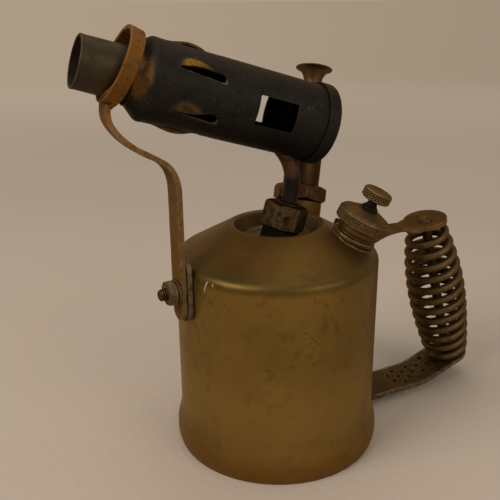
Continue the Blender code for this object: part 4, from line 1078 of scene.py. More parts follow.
def rounded(corners: Corners, steps: int = 3, closed: bool = False) -> Profile:
    """A profile whose corners are rounded.

    Args:
        corners: each corner as (radius, height, rounding).
        steps: the steps of each rounding.
        closed: whether the last corner joins the first.

    Returns:
        The profile's points.
    """
    points: Profile = []
    count = len(corners)
    for k, (x, y, fillet) in enumerate(corners):
        corner = Vector((x, y))
        if fillet <= 0 or (not closed and k in (0, count - 1)):
            points.append((x, y))
            continue
        before = Vector(corners[k - 1][:2]) - corner
        after = Vector(corners[(k + 1) % count][:2]) - corner
        reach = min(fillet, before.length * 0.48, after.length * 0.48)
        first = corner + before.normalized() * reach
        last = corner + after.normalized() * reach
        for j in range(steps + 1):
            share = j / steps
            point = first * (1 - share) ** 2 + corner * 2 * share * (1 - share) + last * share ** 2
            points.append((point.x, point.y))
    return points


def between(first: Vector, pull: Vector, last: Vector, last_pull: Vector, share: float) -> Vector:
    """A point on the smooth curve between two points.

    Args:
        first: where the curve starts.
        pull: how fast it leaves there.
        last: where it ends.
        last_pull: how fast it arrives there.
        share: how far along it the point is, from 0 to 1.

    Returns:
        The point.
    """
    square, cube = share ** 2, share ** 3
    left = first * (2 * cube - 3 * square + 1) + pull * (cube - 2 * square + share)
    return left + last * (3 * square - 2 * cube) + last_pull * (cube - square)


def smooth_line(points: Points, steps: int) -> Points:
    """A smooth line through points.

    Args:
        points: what it passes through.
        steps: the steps between each two.

    Returns:
        The line's points.
    """
    line: Points = []
    count = len(points)
    for k in range(count - 1):
        before, first = points[max(k - 1, 0)], points[k]
        last, after = points[k + 1], points[min(k + 2, count - 1)]
        pulls = (last - before) * 0.5, (after - first) * 0.5
        line += [between(first, pulls[0], last, pulls[1], j / steps) for j in range(steps)]
    line.append(points[-1])
    return line


def ease(value: float, low: float, high: float) -> float:
    """A smooth step from 0 at low to 1 at high."""
    share = min(max((value - low) / (high - low), 0.0), 1.0)
    return share * share * (3 - 2 * share)


def ridge(value: float) -> float:
    """A triangle wave of period 1 between 0 and 1."""
    share = value % 1.0
    return 1 - abs(2 * share - 1)


def tank_axis() -> Matrix:
    """Where the tank's axis stands, from the frame's round base plate."""
    low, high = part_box("base_plate")
    return Matrix.Translation(((low.x + high.x) / 2, (low.y + high.y) / 2, 0))


def placed(location: Vector, direction: Vector, spin: float = 0.0) -> Matrix:
    """A frame whose +Z runs along a direction and whose +Y stays level.

    Args:
        location: its origin, from the tank's axis.
        direction: where its +Z points.
        spin: a turn of the whole about the tank's axis.

    Returns:
        The frame's matrix.
    """
    z_axis = direction.normalized()
    y_axis = Vector((0, 0, 1)).cross(z_axis).normalized()
    x_axis = y_axis.cross(z_axis)
    basis = Matrix((x_axis, y_axis, z_axis)).transposed().to_4x4()
    return tank_axis() @ Matrix.Rotation(spin, 4, "Z") @ Matrix.Translation(location) @ basis


@dataclass(frozen=True)
class Aim:
    """Where the burner stands and points: its rear end from the tank's axis, its rise and its turn."""

    rise: float = math.radians(16.8)
    turn: float = math.radians(-5.0)
    reach: float = 0.0158
    height: float = 0.1540

    def forward(self, lean: float = 0.0) -> Vector:
        """The way that the burner points, or leans up from there, before its turn about the tank."""
        return Vector((-math.cos(self.rise + lean), 0, math.sin(self.rise + lean)))

    def upward(self, lean: float = 0.0) -> Vector:
        """The way up across it, before its turn about the tank."""
        return Vector((math.sin(self.rise + lean), 0, math.cos(self.rise + lean)))

    def point(self, place: float, lift: float = 0.0) -> Vector:
        """A point at a place along the burner's axis and a lift over it, before its turn about the tank."""
        return Vector((self.reach, 0, self.height)) + self.forward() * place + self.upward() * lift

    def axis(self) -> Matrix:
        """The burner's frame: +Z to the muzzle and +X down."""
        return placed(self.point(0), self.forward(), self.turn)


def knurled(solid: Solid, radius: float, low: float, high: float, pitch: float, depth: float) -> Solid:
    """Presses a diamond knurl into a turned band.

    Args:
        solid: the turned piece, fine enough for the pattern.
        radius: the band's radius.
        low: where the band starts.
        high: where it ends.
        pitch: the size of one diamond.
        depth: the depth of the grooves.

    Returns:
        The same piece.
    """
    around = round(FULL_TURN * radius / pitch)

    def groove(reach: float, turn: float, height: float) -> float:
        """The depth of the crossing grooves at a point.

        Args:
            reach: the point's radius.
            turn: its angle.
            height: its height.

        Returns:
            The depth.
        """
        if reach < radius - pitch / 8 or not low <= height <= high:
            return 0.0
        place, rise = turn / FULL_TURN * around, (height - low) / pitch
        open_share = min(min(ridge(place + rise), ridge(place - rise)) * 2.2, 1.0)
        fade = ease(height, low, low + pitch / 3) * ease(height, high, high - pitch / 3)
        return depth * (1 - open_share) * fade

    return solid.pressed(groove)


def threaded(solid: Solid, pitch: float, depth: float, least: float, low: float) -> Solid:
    """Presses a screw thread into a turned piece.

    Args:
        solid: the turned piece.
        pitch: the thread's pitch.
        depth: its depth.
        least: the radius below which nothing is pressed.
        low: the height from which it runs.

    Returns:
        The same piece.
    """

    def groove(radius: float, turn: float, height: float) -> float:
        """The thread's depth at a point, from its radius, turn and height."""
        pressed = radius >= least and height >= low
        return depth * ridge(height / pitch + turn / FULL_TURN) if pressed else 0.0

    return solid.pressed(groove)


def banded(radius: float, low: float, high: float, rows: int) -> Corners:
    """Corners down a straight band, close enough together for a pressed pattern."""
    return [(radius, high + (low - high) * k / rows, 0.0) for k in range(rows + 1)]


def nut(
    flats: float, low: float, high: float, bore: float, chamfer: float, turn: float = 0.0, both: bool = True
) -> Solid:
    """A hexagon nut with turned chamfers and a bore.

    Args:
        flats: the width across flats.
        low: the lower face.
        high: the upper face.
        bore: the bore's radius.
        chamfer: how far the chamfer reaches down a corner.
        turn: the hexagon's turn.
        both: whether the lower face has a chamfer too.

    Returns:
        The nut.
    """
    corner = flats / 2 / math.cos(math.pi / 6)
    face = flats / 2 * 0.965
    slant = chamfer * 1.25
    turned_corners = [(0, high, 0), (face, high, EDGE), (corner + slant * 0.6, high - chamfer * 1.3, 0)]
    if both:
        turned_corners += [(corner + slant * 0.6, low + chamfer * 1.3, 0), (face, low, EDGE), (0, low, 0)]
    else:
        turned_corners += [(corner + slant * 0.6, low, 0), (0, low, 0)]
    solid = Solid.prism(6, flats, low, high, turn)
    bmesh.ops.bevel(
        solid.shape, geom=[e for e in solid.shape.edges if abs(e.verts[0].co.z - e.verts[1].co.z) > chamfer],
        offset=0.0004, affect="EDGES", segments=3, profile=0.5, material=-1,
    )
    solid.kept_inside(Solid.turned(turned_corners))
    return solid.cut(Solid.rod(bore, low - OVERRUN, high + OVERRUN))


def bead(rim: Callable[[float], Vector], radius: float, seed: float, steps: int = 96) -> Solid:
    """A closed bead of solder, whose thickness wanders a little.

    Args:
        rim: gives the bead's centre line for a turn in radians.
        radius: the bead's mean radius.
        seed: where its noise is read.
        steps: the steps around it.

    Returns:
        The bead.
    """
    line = [rim(FULL_TURN * k / steps) for k in range(steps)]
    solid = Solid.along(line, radius, closed=True, resolution=3)

    def wander(point: Vector) -> Vector:
        """Moves a point a little, in slow waves."""
        offset = noise.noise_vector(point * 220 + Vector((seed, 0, 0))) * radius * 0.5
        return point + offset

    return solid.shifted(wander).tidy()


class Finishes:
    """The lamp's finishes, one material each."""

    def __init__(self, aim: Aim) -> None:
        """Makes the materials.

        Args:
            aim: where the burner points, for what the flame has coloured.
        """
        burner = aim.axis()
        turned = tuple(burner.to_euler())
        shoulder = tuple(burner @ Vector((-0.0005, 0.0120, 0.0825)))
        muzzle_root = tuple(burner @ Vector((0.0050, 0.0095, 0.0890)))
        rear = tuple(burner @ Vector((0.004, 0, 0.020)))
        riser_top = tuple(burner @ Vector((0.0185, 0.0020, 0.0060)))
        # Painted shade: this point darkens the gland nut's right-hand face through its soot settings.
        gland_shaded_side = tuple(burner @ Vector((0.0450, 0.0045, -0.0100)))
        self.tank = DrawnBrass(
            "tank_brass", (0.198, 0.117, 0.0265), (0.240, 0.144, 0.033), (0.100, 0.054, 0.014),
            (0.34, 0.21, 0.07), edge_tint=(1.0, 0.90, 0.76), roughness=(0.40, 0.58), hollow_shade=0.3, pits=0.10,
            relief=0.000020, blotches=(0.050, 0.006), middle=tuple(tank_axis().translation), wear=0.35,
            scratched=0.35
        ).build()
        self.brass = AgedMetal(
            "worn_brass", (0.115, 0.062, 0.0155), (0.080, 0.043, 0.012), (0.026, 0.015, 0.006),
            (0.32, 0.20, 0.07), roughness=(0.38, 0.62), blotches=(0.012, 0.004)
        ).build()
        self.plate = AgedMetal(
            "tarnished_brass", (0.090, 0.050, 0.0165), (0.068, 0.038, 0.013), (0.028, 0.017, 0.007),
            (0.24, 0.15, 0.06), roughness=(0.42, 0.68), blotches=(0.014, 0.0035), relief=0.00007
        ).build()
        self.neck = AgedMetal(
            "neck_brass", (0.125, 0.070, 0.020), (0.088, 0.050, 0.015), (0.030, 0.018, 0.008),
            (0.34, 0.22, 0.09), roughness=(0.36, 0.62), blotches=(0.010, 0.003)
        ).build()
        self.cap = AgedMetal(
            "cap_brass", (0.130, 0.079, 0.031), (0.092, 0.054, 0.020), (0.026, 0.016, 0.007),
            (0.32, 0.22, 0.10), roughness=(0.46, 0.70), blotches=(0.008, 0.0025), relief=0.00008,
            hollow_reach=0.0012, hollow_shade=0.95, wear=0.8
        ).build()
        self.knob = AgedMetal(
            "knob_brass", (0.112, 0.069, 0.028), (0.086, 0.053, 0.022), (0.034, 0.021, 0.009),
            (0.24, 0.16, 0.07), roughness=(0.40, 0.62), blotches=(0.010, 0.004)
        ).build()
        # The gland's soot colour is painted shade on the nut's right-hand face.
        self.gland = HeatedSteel(
            "gland_brass", (0.034, 0.0180, 0.0070), (0.017, 0.0105, 0.005), (0.006, 0.0045, 0.0035),
            (0.25, 0.165, 0.085), roughness=(0.42, 0.62), blotches=(0.007, 0.0028), relief=0.00008,
            wear=0.45, gloss=0.12, scratched=0.5, edge_tint=(0.5, 0.38, 0.25), metallic=0.85,
            bloom_share=0.0, soot_and_shade_centre=gland_shaded_side, soot_and_shade_reach=0.0095, soot=(0.0050, 0.0050, 0.0048),
            dust=(0.27, 0.18, 0.09), dust_share=0.3
        ).build()
        self.solder = AgedMetal(
            "old_solder", (0.095, 0.055, 0.021), (0.062, 0.034, 0.013), (0.022, 0.013, 0.006),
            (0.27, 0.20, 0.11), wear=0.4, metallic=0.7, roughness=(0.45, 0.7), blotches=(0.005, 0.0016)
        ).build()
        self.jacket = HeatedSteel(
            "burnt_steel", (0.0122, 0.0113, 0.0100), (0.0182, 0.0162, 0.0130), (0.0060, 0.0057, 0.0053),
            (0.060, 0.046, 0.027), metallic=0.45, roughness=(0.46, 0.74), wear=0.35, relief=0.00005,
            hollow_shade=0.5, gloss=0.16, blotches=(0.020, 0.004), scratched=0.35, bloom_centre=shoulder,
            bloom_size=(0.0105, 0.0090, 0.0050), bloom=(0.125, 0.055, 0.010), turned=turned,
            soot_and_shade_centre=rear, soot_and_shade_reach=0.022, soot=(0.008, 0.007, 0.006)
        ).build()
        self.inside = HeatedSteel(
            "scorched_steel", (0.020, 0.012, 0.006), (0.012, 0.008, 0.005), (0.005, 0.004, 0.0035),
            (0.06, 0.04, 0.02), metallic=0.2, roughness=(0.7, 0.9), blotches=(0.030, 0.003), wear=0.2,
            bloom_centre=shoulder, bloom_size=(0.028,) * 3, bloom=(0.10, 0.048, 0.010), bloom_share=0.6,
            soot_and_shade_centre=rear, soot_and_shade_reach=0.045, soot=(0.005, 0.0045, 0.004), gloss=0.05, dust_share=0.0
        ).build()
        self.soot = AgedMetal(
            "sooted_brass", (0.0060, 0.0050, 0.0040), (0.0090, 0.0065, 0.0045), (0.0035, 0.0030, 0.0028),
            (0.020, 0.014, 0.008), metallic=0.1, roughness=(0.75, 0.95), wear=0.3, gloss=0.05
        ).build()
        self.muzzle = HeatedSteel(
            "muzzle_steel", (0.047, 0.036, 0.0200), (0.038, 0.028, 0.0155), (0.018, 0.013, 0.008),
            (0.130, 0.100, 0.058), metallic=0.5, roughness=(0.42, 0.68), wear=0.6, blotches=(0.014, 0.004),
            gloss=0.2, scratched=0.8, dust_share=0.35, bloom_centre=muzzle_root, bloom_size=(0.0085,) * 3,
            bloom=(0.062, 0.028, 0.007), bloom_share=0.8, soot_and_shade_centre=rear, soot_and_shade_reach=0.010
        ).build()
        self.pipe = HeatedSteel(
            "burnt_copper", (0.0105, 0.0100, 0.0095), (0.0160, 0.0130, 0.0110), (0.006, 0.0058, 0.0055),
            (0.085, 0.058, 0.042), metallic=0.5, roughness=(0.40, 0.66), blotches=(0.010, 0.003), wear=0.4,
            gloss=0.2, dust_share=0.45, bloom_centre=riser_top, bloom_size=(0.0098,) * 3,
            bloom=(0.115, 0.050, 0.026), bloom_share=0.9, soot_and_shade_centre=shoulder, soot_and_shade_reach=0.045,
            soot=(0.006, 0.005, 0.0045)
        ).build()
        self.barrel = AgedMetal(
            "dull_copper", (0.037, 0.0185, 0.0080), (0.027, 0.0140, 0.0065), (0.011, 0.0065, 0.004),
            (0.15, 0.070, 0.030), roughness=(0.38, 0.6), blotches=(0.012, 0.004)
        ).build()
        self.rust = Rust(
            "rusty_steel", (0.150, 0.058, 0.0060), (0.120, 0.050, 0.0075), (0.050, 0.024, 0.006),
            (0.26, 0.16, 0.07), metallic=0.1, roughness=(0.66, 0.9), blotches=(0.014, 0.003),
            relief=0.00006, wear=0.5, hollow_shade=0.6, gloss=0.10
        ).build()
        self.dull_rust = Rust(
            "dull_rust", (0.080, 0.047, 0.0190), (0.062, 0.036, 0.0150), (0.022, 0.013, 0.006),
            (0.22, 0.155, 0.085), metallic=0.3, roughness=(0.55, 0.85), blotches=(0.012, 0.0022),
            relief=0.00009, wear=0.7, hollow_shade=0.9, bright=(0.135, 0.088, 0.040),
            scale_colour=(0.020, 0.0125, 0.007), dull=(0.070, 0.042, 0.018), gloss=0.12
        ).build()
        self.steel = AgedMetal(
            "dull_steel", (0.115, 0.085, 0.055), (0.080, 0.058, 0.036), (0.030, 0.020, 0.013),
            (0.34, 0.29, 0.23), roughness=(0.40, 0.62), blotches=(0.010, 0.003), relief=0.00006
        ).build()
        self.wire = AgedMetal(
            "dark_bronze", (0.096, 0.062, 0.0265), (0.070, 0.045, 0.0195), (0.028, 0.018, 0.009),
            (0.19, 0.12, 0.05), roughness=(0.40, 0.62), blotches=(0.016, 0.002), relief=0.00008
        ).build()
        self.strap = AgedMetal(
            "strap_bronze", (0.088, 0.055, 0.0230), (0.066, 0.042, 0.0185), (0.026, 0.017, 0.009),
            (0.27, 0.21, 0.125), roughness=(0.46, 0.72), blotches=(0.014, 0.003), relief=0.00008
        ).build()
        self.black = AgedMetal(
            "black_steel", (0.0085, 0.0075, 0.0065), (0.0120, 0.0095, 0.0075), (0.005, 0.0045, 0.004),
            (0.06, 0.045, 0.03), metallic=0.4, roughness=(0.45, 0.7), wear=0.4, blotches=(0.006, 0.002),
            gloss=0.2
        ).build()
        self.leather = Leather("oiled_leather", (0.11, 0.055, 0.030), (0.055, 0.028, 0.016)).build()

    @staticmethod
    def dress(finish: bpy.types.Material, slot: Slot, *nodes: str) -> None:
        """Gives some of the frame's own nodes a finish.

        Args:
            finish: the material.
            slot: the record's material slot; not used.
            nodes: the names of the nodes.
        """
        for node in nodes:
            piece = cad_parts[node]
            for holder in piece.material_slots:
                holder.link = "DATA"
            piece.data.materials.clear()
            piece.data.materials.append(finish)


@dataclass
class Assembly:
    """A sub-assembly of the lamp, with the finishes that it picks from."""

    looks: Finishes

    def axis(self) -> Matrix:
        """The sub-assembly's own frame: the tank's, unless it has another."""
        return tank_axis()


@dataclass
class Tank(Assembly):
    """The drawn brass tank: dish, cone, rounded shoulder, wall and flared foot, with its base plate."""

    radius: float = 0.0475
    wall: float = 0.0012
    foot_radius: float = 0.0489
    skirt_radius: float = 0.0498
    skirt_bulge_height: float = 0.0060
    skirt_height: float = 0.0170
    cone_slope: float = math.radians(29.0)
    shoulder_round: float = 0.0046
    dish_rim_radius: float = 0.0216
    dish_rim_height: float = 0.1090
    dish_rim_round: float = 0.0011
    dish_depth: float = 0.0075
    dish_floor_radius: float = 0.0150
    base_height: float = 0.0062
    base_thickness: float = 0.0012
    base_dome: float = 0.0010
    slot_start: float = 0.0260
    slot_half_width: float = 0.0113
    slot_top: float = 0.0059

    def cone_height(self, reach: float) -> float:
        """Height of the conical top at a distance from the axis."""
        return self.dish_rim_height - (reach - self.dish_rim_radius) * math.tan(self.cone_slope)

    def shoulder_centre(self) -> tuple[float, float]:
        """Centre of the rounding between cone and wall, as (radius, height).

        Returns:
            The centre.
        """
        radius = self.radius - self.shoulder_round
        edge = radius + self.shoulder_round * math.sin(self.cone_slope)
        return radius, self.cone_height(edge) - self.shoulder_round * math.cos(self.cone_slope)

    def outline(self, inset: float) -> Profile:
        """The side from the dish to the foot, set in from the outside.

        Args:
            inset: how far inside the skin it lies.

        Returns:
            The profile, from the axis to the foot.
        """
        floor = self.dish_rim_height - self.dish_depth
        rim_radius = self.dish_rim_round + self.wall
        rim_centre = (self.dish_rim_radius, self.dish_rim_height - rim_radius / math.cos(self.cone_slope))
        rim = arc(rim_centre, rim_radius - inset, math.pi - UPRIGHT / 3, UPRIGHT - self.cone_slope, 10)
        shoulder = arc(self.shoulder_centre(), self.shoulder_round - inset, UPRIGHT - self.cone_slope, 0, 10)
        corner_radius = self.dish_depth / 3
        corner_centre = (self.dish_floor_radius, floor + corner_radius)
        corner = arc(corner_centre, corner_radius + inset, -UPRIGHT, -UPRIGHT / 4, 8)
        bulge = self.skirt_radius - inset
        flare = [
            (self.radius - inset, self.skirt_height, self.skirt_height / 4),
            (bulge, self.skirt_bulge_height * 1.45, self.skirt_bulge_height / 2),
            (bulge, self.skirt_bulge_height * 0.50, self.skirt_bulge_height / 3),
            (self.foot_radius - inset, 0.0, 0.0)
        ]
        top = (self.radius - inset, self.skirt_height * 2, 0.0)
        side = rounded([top] + flare, 6)[1:]
        steps = 8
        rise = shoulder[-1][1]
        wall = [(self.radius - inset, rise + (top[1] - rise) * k / steps) for k in range(1, steps + 1)]
        return [(0, floor - inset)] + corner + rim + shoulder + wall + side

    def build(self, openings: Sequence[Solid]) -> None:
        """Makes the tank and its base plate.

        Args:
            openings: cutters for the burner's socket, the pump and the filler, in the lamp's frame.
        """
        profile = self.outline(0) + self.outline(self.wall)[::-1]
        lip = (self.foot_radius - self.wall / 2, 0.0)
        profile = profile[: len(profile) // 2] + [lip] + profile[len(profile) // 2:]
        shell = Solid.spun(profile, Segments.LARGE).moved(tank_axis())
        slot = Solid.block(
            (self.slot_start, -self.slot_half_width, -OVERRUN),
            (self.skirt_radius + OVERRUN, self.slot_half_width, self.slot_top)
        )
        shell.cut(slot.moved(tank_axis()), *openings)
        shell.publish(
            "tank_shell_smooth", Matrix.Identity(4), self.looks.tank, Slot.TANK, sharp=math.radians(50)
        )
        reach = self.skirt_radius - self.wall - FIT_GAP
        top = self.base_height + self.base_thickness
        corners = [
            (0, top - self.base_dome * 0.2, 0), (reach * 0.8, top - self.base_dome * 0.2, 0.001),
            (reach * 0.9, top, 0.001), (reach, top, EDGE), (reach, self.base_height, EDGE),
            (reach * 0.9, self.base_height, 0.001),
            (reach * 0.86, self.base_height + self.base_dome * 0.3, 0.001),
            (0, self.base_height + self.base_dome * 0.3, 0)
        ]
        plate = Solid.turned(corners, Segments.LARGE)
        plate.publish("base_plate_smooth", tank_axis(), self.looks.brass, Slot.TANK)

    def foot_of(self, frame_at: Matrix, radius: float, lift: float) -> Callable[[float], Vector]:
        """The line where a leaning round neck meets the cone.

        Args:
            frame_at: the neck's frame.
            radius: the neck's radius.
            lift: how far over the cone the line lies.

        Returns:
            A function from a turn about the neck to a point in the neck's frame.
        """
        middle = tank_axis().translation

        def point(turn: float) -> Vector:
            """Slides along the neck until the point lies on the cone.

            Args:
                turn: the turn about the neck.

            Returns:
                The point in the neck's frame.
            """
            local = Vector((radius * math.cos(turn), radius * math.sin(turn), 0.0))
            for _ in range(12):
                world = frame_at @ local
                distance = math.hypot(world.x - middle.x, world.y - middle.y)
                local.z -= (world.z - self.cone_height(distance) - lift) * 0.8
            return local

        return point


@dataclass
class Burner(Assembly):
    """The burner: slotted jacket, muzzle tube, rear cap, vaporiser pipe, jet, gland nut and socket."""

    aim: Aim
    jacket_radius: float = 0.0170
    jacket_wall: float = 0.0009
    jacket_length: float = 0.0850
    ridge_growth: float = 0.0002
    shoulder_length: float = 0.0070
    neck_radius: float = 0.0124
    lip_length: float = 0.0012
    length: float = 0.1061
    muzzle_radius: float = 0.0107
    muzzle_root_radius: float = 0.0111
    muzzle_wall: float = 0.0010
    muzzle_overlap: float = 0.0045
    window_start: float = 0.0150
    window_length: float = 0.0182
    window_height: float = 0.0122
    slit_turns: tuple[float, ...] = (0, 60, 120, 180, 232, 292)
    slit_start: float = 0.0490
    slit_length: float = 0.0203
    slit_width: float = 0.0042
    slit_tip: float = 0.0008
    lip_rise: float = 0.0016
    lip_sink: float = 0.0007
    lip_spread: float = math.radians(19)
    rear_depth: float = 0.0060
    rear_round: float = 0.0016
    pipe_radius: float = 0.0036
    pipe_run: float = 0.0112
    pipe_offset: float = -0.0010
    pipe_bend: float = 0.0231
    pipe_loop_place: float = 0.0660
    pipe_return_bend: float = 0.0045
    pipe_loop_depth: float = 0.0045
    jet_block_radius: float = 0.0055
    plug_radius: float = 0.0026
    plug_length: float = 0.0100
    plug_head_radius: float = 0.0052
    plug_head_height: float = 0.0026
    plug_slot_width: float = 0.0010
    gland_flats: float = 0.0182
    gland_top_drop: float = 0.0384
    gland_height: float = 0.0116
    gland_turn: float = math.radians(7)
    collar_radius: float = 0.0062
    collar_rise: float = 0.0011
    socket_radius: float = 0.0086
    socket_thread_radius: float = 0.0068
    socket_length: float = 0.0190
    socket_drop: float = 0.0046

    def axis(self) -> Matrix:
        """The burner's frame: +Z to the muzzle and +X down."""
        return self.aim.axis()

    def gland_axis(self) -> Matrix:
        """The gland's frame, +Z up."""
        return placed(self.aim.point(self.pipe_offset), self.aim.upward(), self.aim.turn)

    def lip_height(self, turn: float, place: float) -> float:
        """How far the jacket's skin is pressed out, or in below zero, at a point beside a slit.

        Args:
            turn: the point's angle around the burner's axis.
            place: its distance along the axis.

        Returns:
            The height of the pressed lip.
        """
        offset = self.slit_offset(turn)
        share = (place - self.slit_start) / self.slit_length
        if offset > 0:
            beside = ease(offset, self.lip_spread / 2, 0.0)
            return -self.lip_sink * 0.4 * math.sin(math.pi * min(max(share, 0.0), 1.0)) ** 2 * beside
        fall = self.lip_cover(turn, place)
        back = math.exp(-(((share - 0.12) / 0.20) ** 2)) * ease(offset, -self.lip_spread, 0.0)
        return self.lip_rise * fall - self.lip_sink * back

    def slit_offset(self, turn: float) -> float:
        """The nearest slit's angle, less a point's."""
        offsets = [(math.radians(place) - turn + math.pi) % FULL_TURN - math.pi for place in self.slit_turns]
        return min(offsets, key=abs)

    def lip_cover(self, turn: float, place: float) -> float:
        """How much of the raised lip's height stands at a point, 1 at its crest beside the slit.

        Args:
            turn: the point's angle around the burner's axis.
            place: its distance along the axis.

        Returns:
            The share of the lip's height.
        """
        offset = self.slit_offset(turn)
        share = (place - self.slit_start) / self.slit_length
        spread = self.lip_spread * ease(share, 1.18, 0.80) * (0.22 + 0.78 * ease(share, 0.0, 0.72))
        if offset > 0 or spread <= 0 or share < 0:
            return 0.0
        across = min(-offset / spread, 1.0)
        return (1 - across ** 2.4) * ease(share, 0.05, 0.60) * ease(share, 1.16, 0.66)

    def jacket(self) -> Solid:
        """The jacket with its windows, slits and pressed lips.

        Returns:
            The jacket, in the burner's frame.
        """
        ridge_place = self.jacket_length - self.shoulder_length
        rear = FIT_GAP + self.jacket_wall - self.rear_depth
        steps = 76
        low, high = rear, ridge_place - self.lip_length * 2
        outer = [(self.jacket_radius, high + (low - high) * k / steps, 0) for k in range(steps + 1)]
        bore = self.jacket_radius - self.jacket_wall
        inner = [(bore, low + (high - low) * k / steps, 0) for k in range(steps + 1)]
        neck_bore = self.neck_radius - self.jacket_wall
        corners = [
            (self.neck_radius, self.jacket_length, EDGE),
            (self.neck_radius, self.jacket_length - self.lip_length, 0.0012),
            (self.jacket_radius - self.jacket_wall / 2, ridge_place + self.lip_length, 0.0012),
            (self.jacket_radius + self.ridge_growth, ridge_place, 0.0012)
        ]
        corners += outer + inner
        corners += [
            (self.jacket_radius - self.jacket_wall * 1.4, ridge_place + self.lip_length * 0.6, 0.0010),
            (neck_bore, self.jacket_length - self.lip_length - self.jacket_wall, 0.0010),
            (neck_bore, self.jacket_length, EDGE)
        ]
        solid = Solid.ringed(corners, Segments.LARGE, 5)
        far = self.jacket_radius + OVERRUN
        window = Solid.block(
            (-self.window_height / 2, -far, self.window_start),
            (self.window_height / 2, far, self.window_start + self.window_length)
        )
        edges = [e for e in window.shape.edges if abs(e.verts[0].co.y - e.verts[1].co.y) > far]
        bmesh.ops.bevel(
            window.shape, geom=edges, offset=0.0007, affect="EDGES", segments=4, profile=0.5, material=-1
        )
        solid.cut(window)
        end = self.slit_width / 2
        tip = self.slit_tip / 2
        shape = arc((self.slit_start + end, 0), end, UPRIGHT, math.pi * 1.5, 16)
        shape += arc((self.slit_start + self.slit_length - tip, 0), tip, -UPRIGHT, UPRIGHT, 4)
        for turn in self.slit_turns:
            upright = Matrix.Rotation(math.radians(turn), 4, "Z")
            upright = upright @ Matrix.Translation((self.jacket_radius, 0, 0))
            upright = upright @ Matrix.Rotation(-UPRIGHT, 4, "Y")
            solid.cut(Solid.outline(shape, -OVERRUN, OVERRUN).moved(upright))

        return solid.pressed(lambda radius, turn, height: -self.lip_height(turn, height))

    def keep_heat(self, piece: bpy.types.Object, inverse: Matrix) -> None:
        """Keeps in the mesh where the raised lips are heated, and where the slits have cut edges.

        Args:
            piece: the jacket.
            inverse: from the lamp's frame to the burner's.
        """
        mesh = piece.data
        for name in ("scorch", "cut"):
            mesh.attributes.new(name, "FLOAT", "POINT")
        heat, cut = mesh.attributes["scorch"], mesh.attributes["cut"]
        end = self.slit_width / 2
        for vertex in mesh.vertices:
            local = inverse @ vertex.co
            turn = math.atan2(local.y, local.x)
            share = (local.z - self.slit_start) / self.slit_length
            # Painted shade: the heat colour on the lip of the slit at 60 degrees is dimmed, as that lip lies
            # in shade.
            lower_lip_shade = 0.28 if abs(turn - math.radians(self.slit_turns[1])) < self.lip_spread else 1.0
            heat.data[vertex.index].value = lower_lip_shade * ease(self.lip_cover(turn, local.z), 0.12, 0.55)
            half = (self.slit_tip / 2 + (end - self.slit_tip / 2) * (1 - share)) * 1.12 + 0.0001
            offset = self.slit_offset(turn) * self.jacket_radius
            if -0.01 < share < 1.01 and 0 <= offset <= half:
                cut.data[vertex.index].value = 1.0

    def pipe_line(self) -> Points:
        """The vaporiser pipe's centre line: up from the gland, forward under the flame, round and back.

        Returns:
            The centre line, in the burner's frame.
        """
        run = self.pipe_run
        start_depth = self.gland_top_drop + self.gland_height
        bend_depth = run + self.pipe_bend
        first = arc(
            (self.pipe_offset + self.pipe_bend, bend_depth), self.pipe_bend, math.pi, math.pi * 1.5, 18
        )
        low_end = first[-1][0]
        steps = 12
        ahead = [(low_end + (self.pipe_loop_place - low_end) * k / steps, run) for k in range(1, steps)]
        rise = [(self.pipe_offset, start_depth), (self.pipe_offset, (start_depth + bend_depth) / 2)]
        side_on = rise + first + ahead
        line = [Vector((depth, 0, place)) for place, depth in side_on]
        loop_steps = 28
        for k in range(loop_steps + 1):
            turn = math.pi * k / loop_steps
            place = self.pipe_loop_place + math.sin(turn) * self.pipe_loop_depth
            line.append(Vector((run * math.cos(turn), run * math.sin(turn), place)))
        drop = (self.jet_block_radius + self.pipe_offset + self.pipe_return_bend, self.pipe_return_bend - run)
        span = drop[0] - self.pipe_loop_place
        back = [(self.pipe_loop_place + span * k / steps, -run) for k in range(1, steps)]
        back += arc(drop, self.pipe_return_bend, math.pi * 1.5, math.pi, 12)
        back.append((drop[0] - self.pipe_return_bend, -self.jet_block_radius - FIT_GAP))
        return line + [Vector((depth, 0, place)) for place, depth in back]

    def socket_opening(self) -> Solid:
        """The cutter for the socket's hole in the tank.

        Returns:
            The cutter, in the lamp's frame.
        """
        low = -self.gland_top_drop - self.socket_drop - self.socket_length - OVERRUN
        hole = Solid.rod(self.socket_radius + FIT_GAP, low, -self.gland_top_drop)
        return hole.moved(self.gland_axis())

